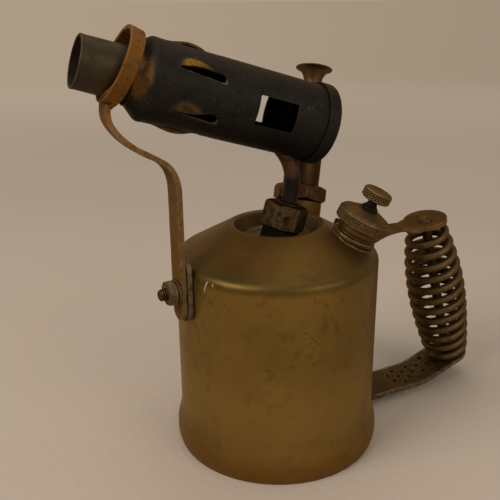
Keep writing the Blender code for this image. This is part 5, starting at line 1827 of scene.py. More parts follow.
    def build(self) -> None:
        """Makes the burner's visible pieces."""
        axis = self.axis()
        pipe_cutter = Solid.along(self.pipe_line(), self.pipe_radius + FIT_GAP)
        jacket = self.jacket().cut(pipe_cutter.copy())
        piece = jacket.publish(
            "burner_jacket_pressed", axis, self.looks.jacket, Slot.BURNT, sharp=math.radians(42)
        )
        piece.data.materials.append(self.looks.inside)
        inverse = axis.inverted()
        self.keep_heat(piece, inverse)
        for face in piece.data.polygons:
            local = inverse @ face.center
            outward = Vector((local.x, local.y, 0)).normalized()
            normal = inverse.to_3x3() @ face.normal
            if normal.dot(outward) < -0.3:
                face.material_index = 1
        root = self.jacket_length - self.muzzle_overlap
        lip, proud, short = 0.0009, 0.00003, 0.00002
        corners = [
            (self.muzzle_radius + proud, self.length - short, SOFT),
            (self.muzzle_radius + proud, self.length - lip, EDGE),
            (self.muzzle_radius - 0.0001, self.length - lip * 1.5, EDGE),
            (self.muzzle_root_radius, root, FINE), (self.muzzle_root_radius - self.muzzle_wall, root, FINE),
            (self.muzzle_radius - self.muzzle_wall, self.length, EDGE)
        ]
        muzzle = Solid.ringed(corners, Segments.LARGE)
        muzzle.publish("muzzle_tube_smooth", axis, self.looks.muzzle, Slot.MUZZLE)
        outer = self.jacket_radius + FIT_GAP + self.jacket_wall
        corners = [
            (0, -self.rear_depth + self.jacket_wall, 0),
            (self.jacket_radius + FIT_GAP, -self.rear_depth + self.jacket_wall, SOFT),
            (self.jacket_radius + FIT_GAP, 0, FINE), (outer, 0, EDGE),
            (outer, -self.rear_depth, self.rear_round), (outer * 0.62, -self.rear_depth, 0.0008),
            (outer * 0.58, -self.rear_depth + 0.0004, 0.0008), (0, -self.rear_depth + 0.0004, 0)
        ]
        cap = Solid.turned(corners, Segments.LARGE, 5)
        plug_hole = Solid.rod(self.plug_radius + FIT_GAP, -self.rear_depth - OVERRUN, OVERRUN)
        cap.cut(plug_hole, pipe_cutter)
        cap.publish("rear_cap_smooth", axis, self.looks.jacket, Slot.MUZZLE)
        pipe = Solid.along(self.pipe_line(), self.pipe_radius, resolution=8)
        pipe.publish("vaporiser_pipe_smooth", axis, self.looks.pipe, Slot.COPPER)
        self.build_plug()
        self.build_gland()
        self.looks.dress(self.looks.soot, Slot.WORN, "jet_block", "jet_nipple")
        self.looks.dress(self.looks.brass, Slot.WORN, "gland_olive", "suction_tube", "suction_strainer")

    def build_plug(self) -> None:
        """The slotted screw at the rear of the burner."""
        face = -self.rear_depth - FIT_GAP
        shank, tip = self.plug_radius, face + self.plug_length
        corners = [
            (0, tip, 0), (shank, tip, SOFT), (shank, face, 0.0001), (self.plug_head_radius, face, EDGE),
            (self.plug_head_radius, face - self.plug_head_height * 0.62, 0.0006),
            (self.plug_head_radius * 0.72, face - self.plug_head_height, 0.0008),
            (0, face - self.plug_head_height, 0)
        ]
        head = Solid.turned(corners)
        half = self.plug_slot_width / 2
        low = face - self.plug_head_height
        far = self.plug_head_radius + OVERRUN
        slot = Solid.block((-half, -far, low - OVERRUN), (half, far, low + self.plug_head_height * 0.5))
        head.cut(slot.moved(Matrix.Rotation(math.radians(35), 4, "Z")))
        head.publish("rear_plug_screw_slotted", self.axis(), self.looks.gland, Slot.WORN)

    def build_gland(self) -> None:
        """The gland nut, and the socket that it screws on."""
        top = -self.gland_top_drop
        low = top - self.gland_height
        bore = self.pipe_radius + FIT_GAP
        body = nut(self.gland_flats, low, top, bore, 0.0011, self.gland_turn)
        body.cut(Solid.rod(self.socket_thread_radius + FIT_GAP, low - OVERRUN, top - 0.0028))
        corners = [
            (self.collar_radius, top - 0.0002, 0),
            (self.collar_radius, top + self.collar_rise - 0.0005, 0.0005),
            (self.pipe_radius + 0.0008, top + self.collar_rise, SOFT),
            (bore, top + self.collar_rise, EDGE), (bore, top - 0.0002, 0)
        ]
        body.joined(Solid.ringed(corners, Segments.SMALL))
        body.publish("gland_nut_worn", self.gland_axis(), self.looks.gland, Slot.WORN)
        step = low - FIT_GAP
        bottom = top - self.socket_drop - self.socket_length
        corners = [
            (self.socket_thread_radius, top - self.socket_drop, EDGE),
            (self.socket_thread_radius, step, FINE), (self.socket_radius, step, 0.0006),
            (self.socket_radius, bottom, EDGE), (bore, bottom, EDGE), (bore, top - self.socket_drop, EDGE)
        ]
        socket = Solid.ringed(corners)
        # The socket's near-black sooted finish is partly soot and partly painted shadow under the gland nut.
        socket.publish("burner_socket_smooth", self.gland_axis(), self.looks.soot, Slot.WORN)


@dataclass
class Fitting(Assembly):
    """A turned sub-assembly that leans out of the tank's conical top."""

    tank: Tank
    turn: float
    lean: float
    reach: float
    seed: float

    def axis(self) -> Matrix:
        """The fitting's frame, +Z up and out."""
        upward = Vector((math.sin(self.lean), 0, math.cos(self.lean)))
        return placed(Vector((self.reach, 0, self.tank.cone_height(self.reach))), upward, self.turn)

    def hole(self, radius: float, sink: float, rise: float) -> Solid:
        """The cutter for a part that stands in the tank's top with its fit, in the lamp's frame."""
        return Solid.rod(radius + FIT_GAP, -sink - OVERRUN, rise).moved(self.axis())

    def solder(self, name: str, radius: float, lift: float, size: float) -> None:
        """A bead of solder around the foot of the fitting.

        Args:
            name: the bead's name.
            radius: its radius around the fitting.
            lift: how far over the cone its middle lies.
            size: its own radius.
        """
        seam = bead(self.tank.foot_of(self.axis(), radius, lift), size, self.seed)
        seam.publish(name, self.axis(), self.looks.solder, Slot.TANK)


@dataclass
class Pump(Fitting):
    """The pump behind the burner: boss, collar, barrel, cap, and the plunger with its trumpet knob."""

    turn: float = math.radians(42.5)
    lean: float = math.radians(22.0)
    reach: float = 0.0345
    boss_radius: float = 0.0116
    boss_rise: float = 0.0072
    boss_sink: float = 0.0060
    collar_flats: float = 0.0240
    collar_height: float = 0.0078
    barrel_radius: float = 0.0091
    barrel_wall: float = 0.0010
    barrel_top: float = 0.0610
    barrel_bottom: float = -0.0400
    cap_radius: float = 0.0103
    cap_skirt: float = 0.0060
    cap_roof: float = 0.0030
    rod_radius: float = 0.0022
    knob_length: float = 0.0118
    knob_radius: float = 0.00934
    knob_neck_radius: float = 0.0043
    knob_rim: float = 0.0010
    knob_dish: float = 0.0012
    knob_flare_share: float = 0.72
    valve_lift: float = 0.0012
    seed: float = 3.0

    def opening(self) -> Solid:
        """The cutter for the boss's hole in the tank, in the lamp's frame."""
        return self.hole(self.boss_radius, self.boss_sink, self.boss_rise + OVERRUN)

    def build(self) -> None:
        """Makes the pump's visible pieces."""
        axis = self.axis()
        fit = self.barrel_radius + FIT_GAP
        boss = Solid.tube(self.boss_radius, fit, -self.boss_sink, self.boss_rise, 0.0006)
        boss.publish("pump_boss_smooth", axis, self.looks.brass, Slot.TANK)
        self.solder("pump_solder", self.boss_radius + 0.0003, 0.0002, 0.0009)
        low = self.boss_rise + FIT_GAP
        collar = nut(self.collar_flats, low, low + self.collar_height, fit, 0.0014)
        collar.publish("pump_collar_chamfered", axis, self.looks.barrel, Slot.COPPER)
        bore = self.barrel_radius - self.barrel_wall
        barrel = Solid.tube(self.barrel_radius, bore, self.barrel_bottom, self.barrel_top)
        barrel.publish("pump_barrel_smooth", axis, self.looks.barrel, Slot.COPPER)
        self.build_cap()
        self.build_knob()
        inner = ("valve_seat", "valve_cage", "check_valve", "piston_plate", "piston_nut")
        self.looks.dress(self.looks.brass, Slot.WORN, *inner)
        self.looks.dress(self.looks.leather, Slot.LEATHER, "pump_leather")
        self.looks.dress(self.looks.steel, Slot.STEEL, "check_spring")
        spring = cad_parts["check_spring"]
        heights = [(axis.inverted() @ spring.matrix_world @ vertex.co).z for vertex in spring.data.vertices]
        low, high = min(heights), max(heights)
        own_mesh(spring)

    def build_cap(self) -> None:
        """The screw cap of the barrel, with a knurled skirt."""
        low = self.barrel_top - self.cap_skirt
        high = self.barrel_top + FIT_GAP + self.cap_roof
        fit = self.rod_radius + FIT_GAP
        band_low, band_high = low + 0.0010, high - 0.0022
        corners = [
            (fit, high, EDGE), (self.cap_radius - 0.0004, high, 0.0010),
            (self.cap_radius - 0.0004, band_high, 0)
        ]
        corners += banded(self.cap_radius, band_low, band_high - 0.0002, 30)
        corners += [
            (self.cap_radius - 0.0004, band_low - 0.0002, 0), (self.cap_radius - 0.0004, low, EDGE),
            (self.barrel_radius + FIT_GAP, low, FINE),
            (self.barrel_radius + FIT_GAP, self.barrel_top + FIT_GAP, FINE),
            (fit, self.barrel_top + FIT_GAP, FINE)
        ]
        cap = Solid.ringed(corners, Segments.LARGE)
        knurled(cap, self.cap_radius, band_low, band_high, 0.0016, 0.0003)
        cap.publish("pump_cap_knurled", self.axis(), self.looks.barrel, Slot.COPPER)

    def build_knob(self) -> None:
        """The trumpet knob and the pump rod."""
        cap_high = self.barrel_top + FIT_GAP + self.cap_roof
        low = cap_high + FIT_GAP
        high = low + self.knob_length
        rod_top = high - self.knob_length / 3
        rod_fit = self.rod_radius + FIT_GAP
        flare_height = self.knob_length * self.knob_flare_share
        spread = self.knob_radius - self.knob_neck_radius
        steps = 18
        corners = [
            (0, high - self.knob_dish, 0), (self.knob_radius * 0.45, high - self.knob_dish * 0.9, 0.0030),
            (self.knob_radius - self.knob_rim, high, 0.0007),
            (self.knob_radius, high - self.knob_rim * 0.3, SOFT),
            (self.knob_radius, high - self.knob_rim * 0.8, SOFT)
        ]
        for k in range(1, steps + 1):
            share = k / steps
            radius = self.knob_neck_radius + spread * (1 - math.cos(UPRIGHT * (1 - share)))
            height = high - self.knob_rim - flare_height * (1 - math.sin(UPRIGHT * (1 - share)))
            corners.append((radius, height, 0))
        corners += [
            (self.knob_neck_radius, low, SOFT), (rod_fit, low, FINE), (rod_fit, rod_top + FIT_GAP, 0),
            (0, rod_top + FIT_GAP, 0)
        ]
        knob = Solid.turned(corners, Segments.MIDDLE, 4)
        knob.publish("pump_knob_trumpet", self.axis(), self.looks.knob, Slot.WORN, Body.PLUNGER)
        self.looks.dress(self.looks.steel, Slot.STEEL, "pump_rod")


@dataclass
class Filler(Fitting):
    """The filler neck, its knurled screw cap, and the air screw through the cap."""

    turn: float = math.radians(-34.5)
    lean: float = math.radians(26.0)
    reach: float = 0.0350
    neck_radius: float = 0.0094
    neck_bore: float = 0.0068
    thread_radius: float = 0.0086
    thread_pitch: float = 0.0014
    thread_depth: float = 0.0004
    flange_radius: float = 0.0104
    flange_height: float = 0.0022
    neck_lift: float = 0.0008
    neck_height: float = 0.0112
    neck_sink: float = 0.0034
    cap_radius: float = 0.0125
    band_start: float = 0.0071
    band_height: float = 0.0054
    cap_wall: float = 0.0014
    dome_height: float = 0.0031
    dome_radius: float = 0.0117
    knurl_pitch: float = 0.0013
    knurl_depth: float = 0.00042
    gasket_height: float = 0.0012
    stem_radius: float = 0.0022
    stem_collar_radius: float = 0.0036
    stem_collar_height: float = 0.0012
    stem_rise: float = 0.0034
    stem_point: float = 0.0016
    knob_radius: float = 0.0068
    knob_height: float = 0.0050
    knob_edge: float = 0.0009
    seed: float = 7.0

    def opening(self) -> Solid:
        """The cutter for the neck's hole in the tank, in the lamp's frame."""
        return self.hole(self.neck_radius, self.neck_sink, self.neck_height)

    def band_low(self) -> float:
        """Where the cap's knurled band starts."""
        return self.band_start + FIT_GAP

    def dome_top(self) -> float:
        """The top of the cap."""
        return self.band_low() + self.band_height + self.dome_height

    def build(self) -> None:
        """Makes the neck, the cap and the air screw."""
        self.build_neck()
        self.build_cap()
        self.build_air_screw()
        self.looks.dress(self.looks.leather, Slot.LEATHER, "filler_gasket")

    def build_neck(self) -> None:
        """The neck with its flange, its thread and a bead of solder at its foot."""
        flange_top = self.neck_lift + self.flange_height
        corners = [(self.thread_radius, self.neck_height, FINE)]
        corners += banded(self.thread_radius, self.band_start, self.neck_height - 0.0004, 40)
        corners += [
            (self.neck_radius, self.band_start - FIT_GAP, EDGE),
            (self.neck_radius, flange_top + 0.0012, SOFT),
            (self.neck_radius - 0.0006, flange_top + 0.0008, FINE),
            (self.neck_radius - 0.0006, flange_top, FINE),
            (self.flange_radius, flange_top - self.flange_height / 4, 0.0006),
            (self.flange_radius, self.neck_lift, EDGE), (self.neck_radius, self.neck_lift, FINE),
            (self.neck_radius, -self.neck_sink, EDGE), (self.neck_bore, -self.neck_sink, EDGE),
            (self.neck_bore, self.neck_height, SOFT)
        ]
        least = self.thread_radius - self.thread_depth
        neck = threaded(
            Solid.ringed(corners), self.thread_pitch, self.thread_depth, least, self.band_start + 0.0004
        )
        neck.publish("filler_neck_threaded", self.axis(), self.looks.neck, Slot.WORN)
        self.solder("filler_solder", self.neck_radius + 0.0005, -0.0001, 0.00068)

    def build_cap(self) -> None:
        """The cap: a knurled band under a flat, turned dome."""
        low, high = self.band_low(), self.band_low() + self.band_height
        top = self.dome_top()
        fit = self.stem_radius + FIT_GAP
        roof = self.neck_height + self.gasket_height + 2 * FIT_GAP
        cavity = self.neck_radius + FIT_GAP
        knurl_low, knurl_high = low + 0.0007, high - 0.0005
        corners = [
            (fit, top, EDGE), (self.stem_collar_radius + 0.0020, top, 0.0012),
            (self.dome_radius * 0.70, top - self.dome_height * 0.36, 0.0020),
            (self.dome_radius * 0.95, top - self.dome_height * 0.70, 0.0010),
            (self.dome_radius, top - self.dome_height * 0.86, SOFT),
            (self.dome_radius, high + 0.0003, FINE), (self.cap_radius - 0.0006, high, EDGE)
        ]
        corners += banded(self.cap_radius, knurl_low, knurl_high, 36)
        corners += [
            (self.cap_radius - 0.0006, low, EDGE), (cavity, low, FINE),
            (cavity, roof - self.cap_wall, FINE), (self.thread_radius + FIT_GAP, roof, FINE),
            (fit, roof, FINE)
        ]
        solid = Solid.ringed(corners, Segments.KNURL, 4)
        knurled(solid, self.cap_radius, knurl_low, knurl_high, self.knurl_pitch, self.knurl_depth)
        solid.publish(
            "filler_cap_knurled", self.axis(), self.looks.cap, Slot.WORN, Body.CAP, sharp=math.radians(60)
        )

    def build_air_screw(self) -> None:
        """The air screw: a flared dark stem under a knurled knob."""
        low = self.dome_top() + FIT_GAP
        collar_top = low + self.stem_collar_height
        knob_low = collar_top + self.stem_rise
        knob_high = knob_low + self.knob_height
        stem_top = knob_high - self.knob_height / 3
        roof = self.neck_height + self.gasket_height + 2 * FIT_GAP
        point = roof - self.gasket_height
        corners = [
            (0, stem_top, 0), (self.stem_radius, stem_top, EDGE),
            (self.stem_radius, collar_top + self.stem_rise * 0.55, 0.0010),
            (self.stem_radius * 1.25, collar_top + self.stem_rise * 0.2, 0.0008),
            (self.stem_collar_radius + 0.0004, collar_top - 0.0004, SOFT),
            (self.stem_collar_radius + 0.0004, low, FINE), (self.stem_radius, low, 0.0001),
            (self.stem_radius, point, FINE), (0, point - self.stem_point, 0)
        ]
        stem = Solid.turned(corners, Segments.SMALL, 4)
        stem.publish("air_screw_stem_flared", self.axis(), self.looks.black, Slot.BLACK, Body.AIR_SCREW)
        fit = self.stem_radius + FIT_GAP
        band_low, band_high = knob_low + self.knob_edge, knob_high - self.knob_edge
        corners = [
            (0, knob_high - 0.0003, 0), (self.knob_radius * 0.42, knob_high - 0.0003, 0.0006),
            (self.knob_radius * 0.5, knob_high, EDGE),
            (self.knob_radius - self.knob_edge, knob_high, 0.0005)
        ]
        corners += banded(self.knob_radius, band_low, band_high, 26)
        corners += [
            (self.knob_radius - self.knob_edge, knob_low, 0.0005), (fit, knob_low, FINE),
            (fit, stem_top + FIT_GAP, 0.0001), (0, stem_top + FIT_GAP, 0)
        ]
        knob = Solid.turned(corners, Segments.KNURL, 4)
        knurled(knob, self.knob_radius, band_low, band_high, 0.0015, 0.00050)
        knob.publish(
            "air_screw_knob_knurled", self.axis(), self.looks.cap, Slot.WORN, Body.AIR_SCREW,
            sharp=math.radians(60)
        )


@dataclass
class Handle(Assembly):
    """The handle: top bracket, lower strap, rod and wound wire grip."""

    tank: Tank
    plate: float = 0.0024
    foot_start: float = 0.0368
    foot_end: float = 0.0460
    foot_half_width: float = 0.0150
    end_share: float = 0.7
    waist_place: float = 0.0715
    waist_half_width: float = 0.0043
    end_radius: float = 0.0112
    end_tilt: float = math.radians(11.0)
    arm_height: float = 0.0940
    bend_softness: float = 0.0015
    lift_start: float = 0.0395
    lift_end: float = 0.0500
    lift_spread: float = 0.35
    top_reach: float = 0.0902
    top_height: float = 0.0950
    bottom_reach: float = 0.1140
    strap_width: float = 0.0220
    strap_thickness: float = 0.0022
    strap_height: float = 0.0034
    strap_start: float = 0.0260
    bend_place: float = 0.0860
    bend_radius: float = 0.0300
    strap_rise: float = math.radians(18.0)
    hole_radius: float = 0.0014
    hole_start: float = 0.0740
    hole_pitch: float = 0.0051
    hole_spread: float = 0.0062
    hole_columns: int = 6
    rivet_reach: float = 0.0340
    rivet_spread: float = 0.0065
    rivet_radius: float = 0.0016
    rivet_head_radius: float = 0.0031
    rivet_head_height: float = 0.0012
    rod_radius: float = 0.0026
    rod_head_radius: float = 0.0036
    rod_head_height: float = 0.0011
    wire_radius: float = 0.0022
    wire_wear: float = 0.00015
    curls: int = 12
    top_spare: float = 0.0009
    curl_points: int = 30
    bottom_curl: float = 0.0100
    top_curl: float = 0.0084
    middle_curl: float = 0.0136
    fullness: float = 0.9

    def half_width(self, reach: float) -> float:
        """Half the bracket's width at a distance from the tank's axis.

        Args:
            reach: the distance from the tank's axis.

        Returns:
            Half the width there.
        """
        end = self.end_radius
        disc_start = self.top_reach - end * self.end_share
        if reach > disc_start:
            from_centre = (reach - self.top_reach) / math.cos(self.end_tilt)
            return math.sqrt(max(end ** 2 - from_centre ** 2, 0))
        if reach > self.waist_place:
            widest = math.sqrt(end ** 2 - (end * self.end_share) ** 2)
            growth = widest - self.waist_half_width
            return self.waist_half_width + growth * ease(reach, self.waist_place, disc_start)
        if reach > self.foot_end:
            share = (reach - self.foot_end) / (self.waist_place - self.foot_end)
            return self.waist_half_width + (self.foot_half_width - self.waist_half_width) * (1 - share) ** 2
        share = (reach - self.foot_start) / (self.foot_end - self.foot_start)
        return self.foot_half_width * (0.35 + 0.65 * math.sqrt(max(share, 0)))

    def bracket_point(self, reach: float, side: float) -> Vector:
        """A point of the bracket's middle surface: its foot on the tank's shoulder, its arm level.

        Args:
            reach: the distance from the tank's axis.
            side: the distance from the lamp's middle.

        Returns:
            The point, from the tank's axis.
        """
        tank = self.tank
        offset = self.plate / 2 + FIT_GAP
        centre_radius, centre_height = tank.shoulder_centre()
        radius = tank.shoulder_round + offset
        distance = math.hypot(reach, side)
        cone = tank.cone_height(distance) + offset / math.cos(tank.cone_slope)
        past = (distance - centre_radius - radius * math.sin(tank.cone_slope)) / math.cos(tank.cone_slope)
        wrapped = Vector((reach, side, cone))
        if past > 0:
            turn = min(past / radius, UPRIGHT - tank.cone_slope)
            wrapped *= (centre_radius + radius * math.sin(tank.cone_slope + turn)) / distance
            wrapped.z = centre_height + radius * math.cos(tank.cone_slope + turn) - (past - turn * radius)
        above = cone - self.arm_height
        arm_height = self.arm_height + (above + math.hypot(above, self.bend_softness)) / 2
        rise = (reach - self.top_reach) * math.tan(self.end_tilt) + self.top_height - self.arm_height
        rise *= ease(reach, self.waist_place, self.top_reach - self.end_radius * self.end_share)
        arm = Vector((reach, side, arm_height + rise))
        return wrapped.lerp(arm, ease(reach - abs(side) * self.lift_spread, self.lift_start, self.lift_end))

    def bend_centre(self) -> tuple[float, float]:
        """Centre of the lower strap's bend, as (reach, height)."""
        return self.bend_place, self.strap_height + self.strap_thickness / 2 + self.bend_radius

    def rise_start(self) -> Vector:
        """Where the lower strap starts to rise straight.

        Returns:
            The place as (reach, height).
        """
        centre = self.bend_centre()
        return Vector((
            centre[0] + self.bend_radius * math.sin(self.strap_rise),
            centre[1] - self.bend_radius * math.cos(self.strap_rise),
        ))

    def grip_bottom(self) -> Vector:
        """Where the grip stands on the lower strap.

        Returns:
            The point, from the tank's axis.
        """
        start = self.rise_start()
        rise = (self.bottom_reach - start.x) * math.tan(self.strap_rise)
        return Vector((self.bottom_reach, 0, start.y + rise))

    def grip_axis(self) -> Matrix:
        """The grip's frame, +Z from the lower strap to the top bracket."""
        bottom = self.grip_bottom()
        return placed(bottom, Vector((self.top_reach, 0, self.top_height)) - bottom)

    def build(self) -> None:
        """Makes the handle."""
        self.build_bracket()
        self.build_strap()
        self.build_rivets()
        self.build_grip()

    def build_bracket(self) -> None:
        """The top bracket, from its soldered foot to its dished round end."""
        far_end = self.top_reach + self.end_radius * 0.998 * math.cos(self.end_tilt)

        def surface(along: float, across: float) -> Vector:
            """Lays the grid on the bracket's middle surface, closer together towards its round end.

            Args:
                along: the share of the length.
                across: the place across, from -1 to 1.

            Returns:
                The point, from the tank's axis.
            """
            reach = self.foot_start + (far_end - self.foot_start) * math.sin(along * UPRIGHT) ** 0.72
            side = across * self.half_width(reach)
            point = self.bracket_point(reach, side)
            from_rivet = math.hypot(reach - self.top_reach, side) / self.end_radius
            point.z += 0.0005 * ease(from_rivet, 0.72, 0.90) - 0.0006 * ease(from_rivet, 0.60, 0.30)
            return point

        bracket = Solid.plate(surface, 110, 28, self.plate, 0.00105, 5)
        bottom = self.grip_bottom()
        top = Vector((self.top_reach, 0, self.top_height))
        rod_hole = Solid.rod(self.rod_radius + FIT_GAP, 0, (top - bottom).length + OVERRUN)
        rod_hole.moved(tank_axis().inverted() @ self.grip_axis())
        bracket.cut(rod_hole)
        bracket.publish("handle_top_bracket_rounded", tank_axis(), self.looks.plate, Slot.WORN)

    def strap_surface(self, along: float, across: float) -> Vector:
        """A point of the lower strap's middle surface.

        Args:
            along: the share of the length.
            across: the place across, from -1 to 1.

        Returns:
            The point, from the tank's axis.
        """
        start, rise = self.rise_start(), self.strap_rise
        flat = self.bend_place - self.strap_start
        curve = self.bend_radius * rise
        bottom = self.grip_bottom()
        straight = (bottom.x - start.x) / math.cos(rise) + self.strap_width / 2 * 0.998
        travel = (flat + curve + straight) * math.sin(along * UPRIGHT) ** 0.8
        height = self.strap_height + self.strap_thickness / 2
        half = self.strap_width / 2
        if travel < flat:
            point = Vector((self.strap_start + travel, 0, height))
        elif travel < flat + curve:
            turn = (travel - flat) / self.bend_radius
            centre, radius = self.bend_centre(), self.bend_radius
            point = Vector((centre[0] + radius * math.sin(turn), 0, centre[1] - radius * math.cos(turn)))
        else:
            past = travel - flat - curve
            point = Vector((start.x + past * math.cos(rise), 0, start.y + past * math.sin(rise)))
            beyond = past - (straight - half)
            if beyond > 0:
                half = math.sqrt(max(half ** 2 - beyond ** 2, 0))
        point.y = across * half
        return point

    def build_strap(self) -> None:
        """The lower strap with its staggered holes."""
        strap = Solid.plate(self.strap_surface, 90, 14, self.strap_thickness, 0.0005)
        drills = Solid()
        high = self.grip_bottom().z + OVERRUN
        for column in range(self.hole_columns):
            reach = self.hole_start + self.hole_pitch * column
            for row in (-1, 0, 1) if column % 2 else (-0.5, 0.5):
                drill = Solid.rod(self.hole_radius, -OVERRUN, high)
                drills.with_part(drill.moved(Matrix.Translation((reach, row * self.hole_spread, 0))))
        for side in (-self.rivet_spread, self.rivet_spread):
            drill = Solid.rod(self.rivet_radius + FIT_GAP, -OVERRUN, high)
            drills.with_part(drill.moved(Matrix.Translation((self.rivet_reach, side, 0))))
        rod_hole = Solid.rod(self.rod_radius + FIT_GAP, -OVERRUN * 2, OVERRUN * 2)
        strap.cut(drills, rod_hole.moved(tank_axis().inverted() @ self.grip_axis()))
        strap.publish("handle_lower_strap_drilled", tank_axis(), self.looks.strap, Slot.BRONZE)

    def build_rivets(self) -> None:
        """The two rivets that hold the strap on the base plate."""
        low = self.strap_height - FIT_GAP
        high = self.tank.base_height + self.tank.base_thickness + FIT_GAP
        head, rise = self.rivet_head_radius, self.rivet_head_height
        for k, side in enumerate((-self.rivet_spread, self.rivet_spread)):
            corners = [
                (0, high + rise, 0), (head * 0.7, high + rise, 0.0008), (head, high, EDGE),
                (self.rivet_radius, high, 0), (self.rivet_radius, low, 0), (head, low, EDGE),
                (head * 0.7, low - rise, 0.0008), (0, low - rise, 0)
            ]
            rivet = Solid.turned(corners, Segments.SMALL, 5)
            place = tank_axis() @ Matrix.Translation((self.rivet_reach, side, 0))
            rivet.publish(f"strap_rivet_{k + 1}_domed", place, self.looks.brass, Slot.WORN)

    def curl_radius(self, share: float) -> float:
        """The wire's distance from the grip's axis."""
        end = self.bottom_curl + (self.top_curl - self.bottom_curl) * share
        return end + (self.middle_curl - end) * math.sin(math.pi * share) ** self.fullness

    def build_grip(self) -> None:
        """The rod through the grip, and the wound wire around it."""
        axis = self.grip_axis()
        bottom = self.grip_bottom()
        top = Vector((self.top_reach, 0, self.top_height))
        length = (top - bottom).length
        plate_half = self.plate / 2 + FIT_GAP
        top_face = length + self.plate / 2 - 0.0003
        low_face = -(self.strap_thickness / 2 + FIT_GAP)
        head, rise = self.rod_head_radius, self.rod_head_height
        corners = [
            (0, top_face + rise * 0.1, 0), (self.rod_radius * 0.60, top_face + rise * 0.1, SOFT),
            (self.rod_radius * 0.90, top_face + rise * 0.7, SOFT),
            (head * 0.85, top_face + rise * 0.7, 0.0008), (head, top_face - rise * 0.2, EDGE),
            (self.rod_radius, top_face - rise * 0.2, 0), (self.rod_radius, low_face, 0),
            (head, low_face, EDGE), (head * 0.7, low_face - rise, 0.0006), (0, low_face - rise, 0)
        ]
        rod = Solid.turned(corners, Segments.SMALL, 4)
        rod.publish("grip_rod_riveted", axis, self.looks.brass, Slot.BRONZE)
        low = self.strap_thickness / 2 + FIT_GAP
        high = length - plate_half + self.top_spare
        straight = self.wire_radius
        steps = self.curls * self.curl_points
        line = []
        for k in range(steps + 1):
            share = k / steps
            turn = FULL_TURN * self.curls * share
            radius = self.curl_radius(share)
            height = low + straight + (high - low - 2 * straight) * share
            line.append(Vector((radius * math.cos(turn), radius * math.sin(turn), height)))
        first, last = line[0], line[-1]
        start = Vector((first.x, first.y, low))
        end = Vector((last.x, last.y, high))
        coil = Solid.along([start] + line + [end], self.wire_radius - self.wire_wear, resolution=6)
        coil.publish("grip_coil_wound", axis, self.looks.wire, Slot.BRONZE)


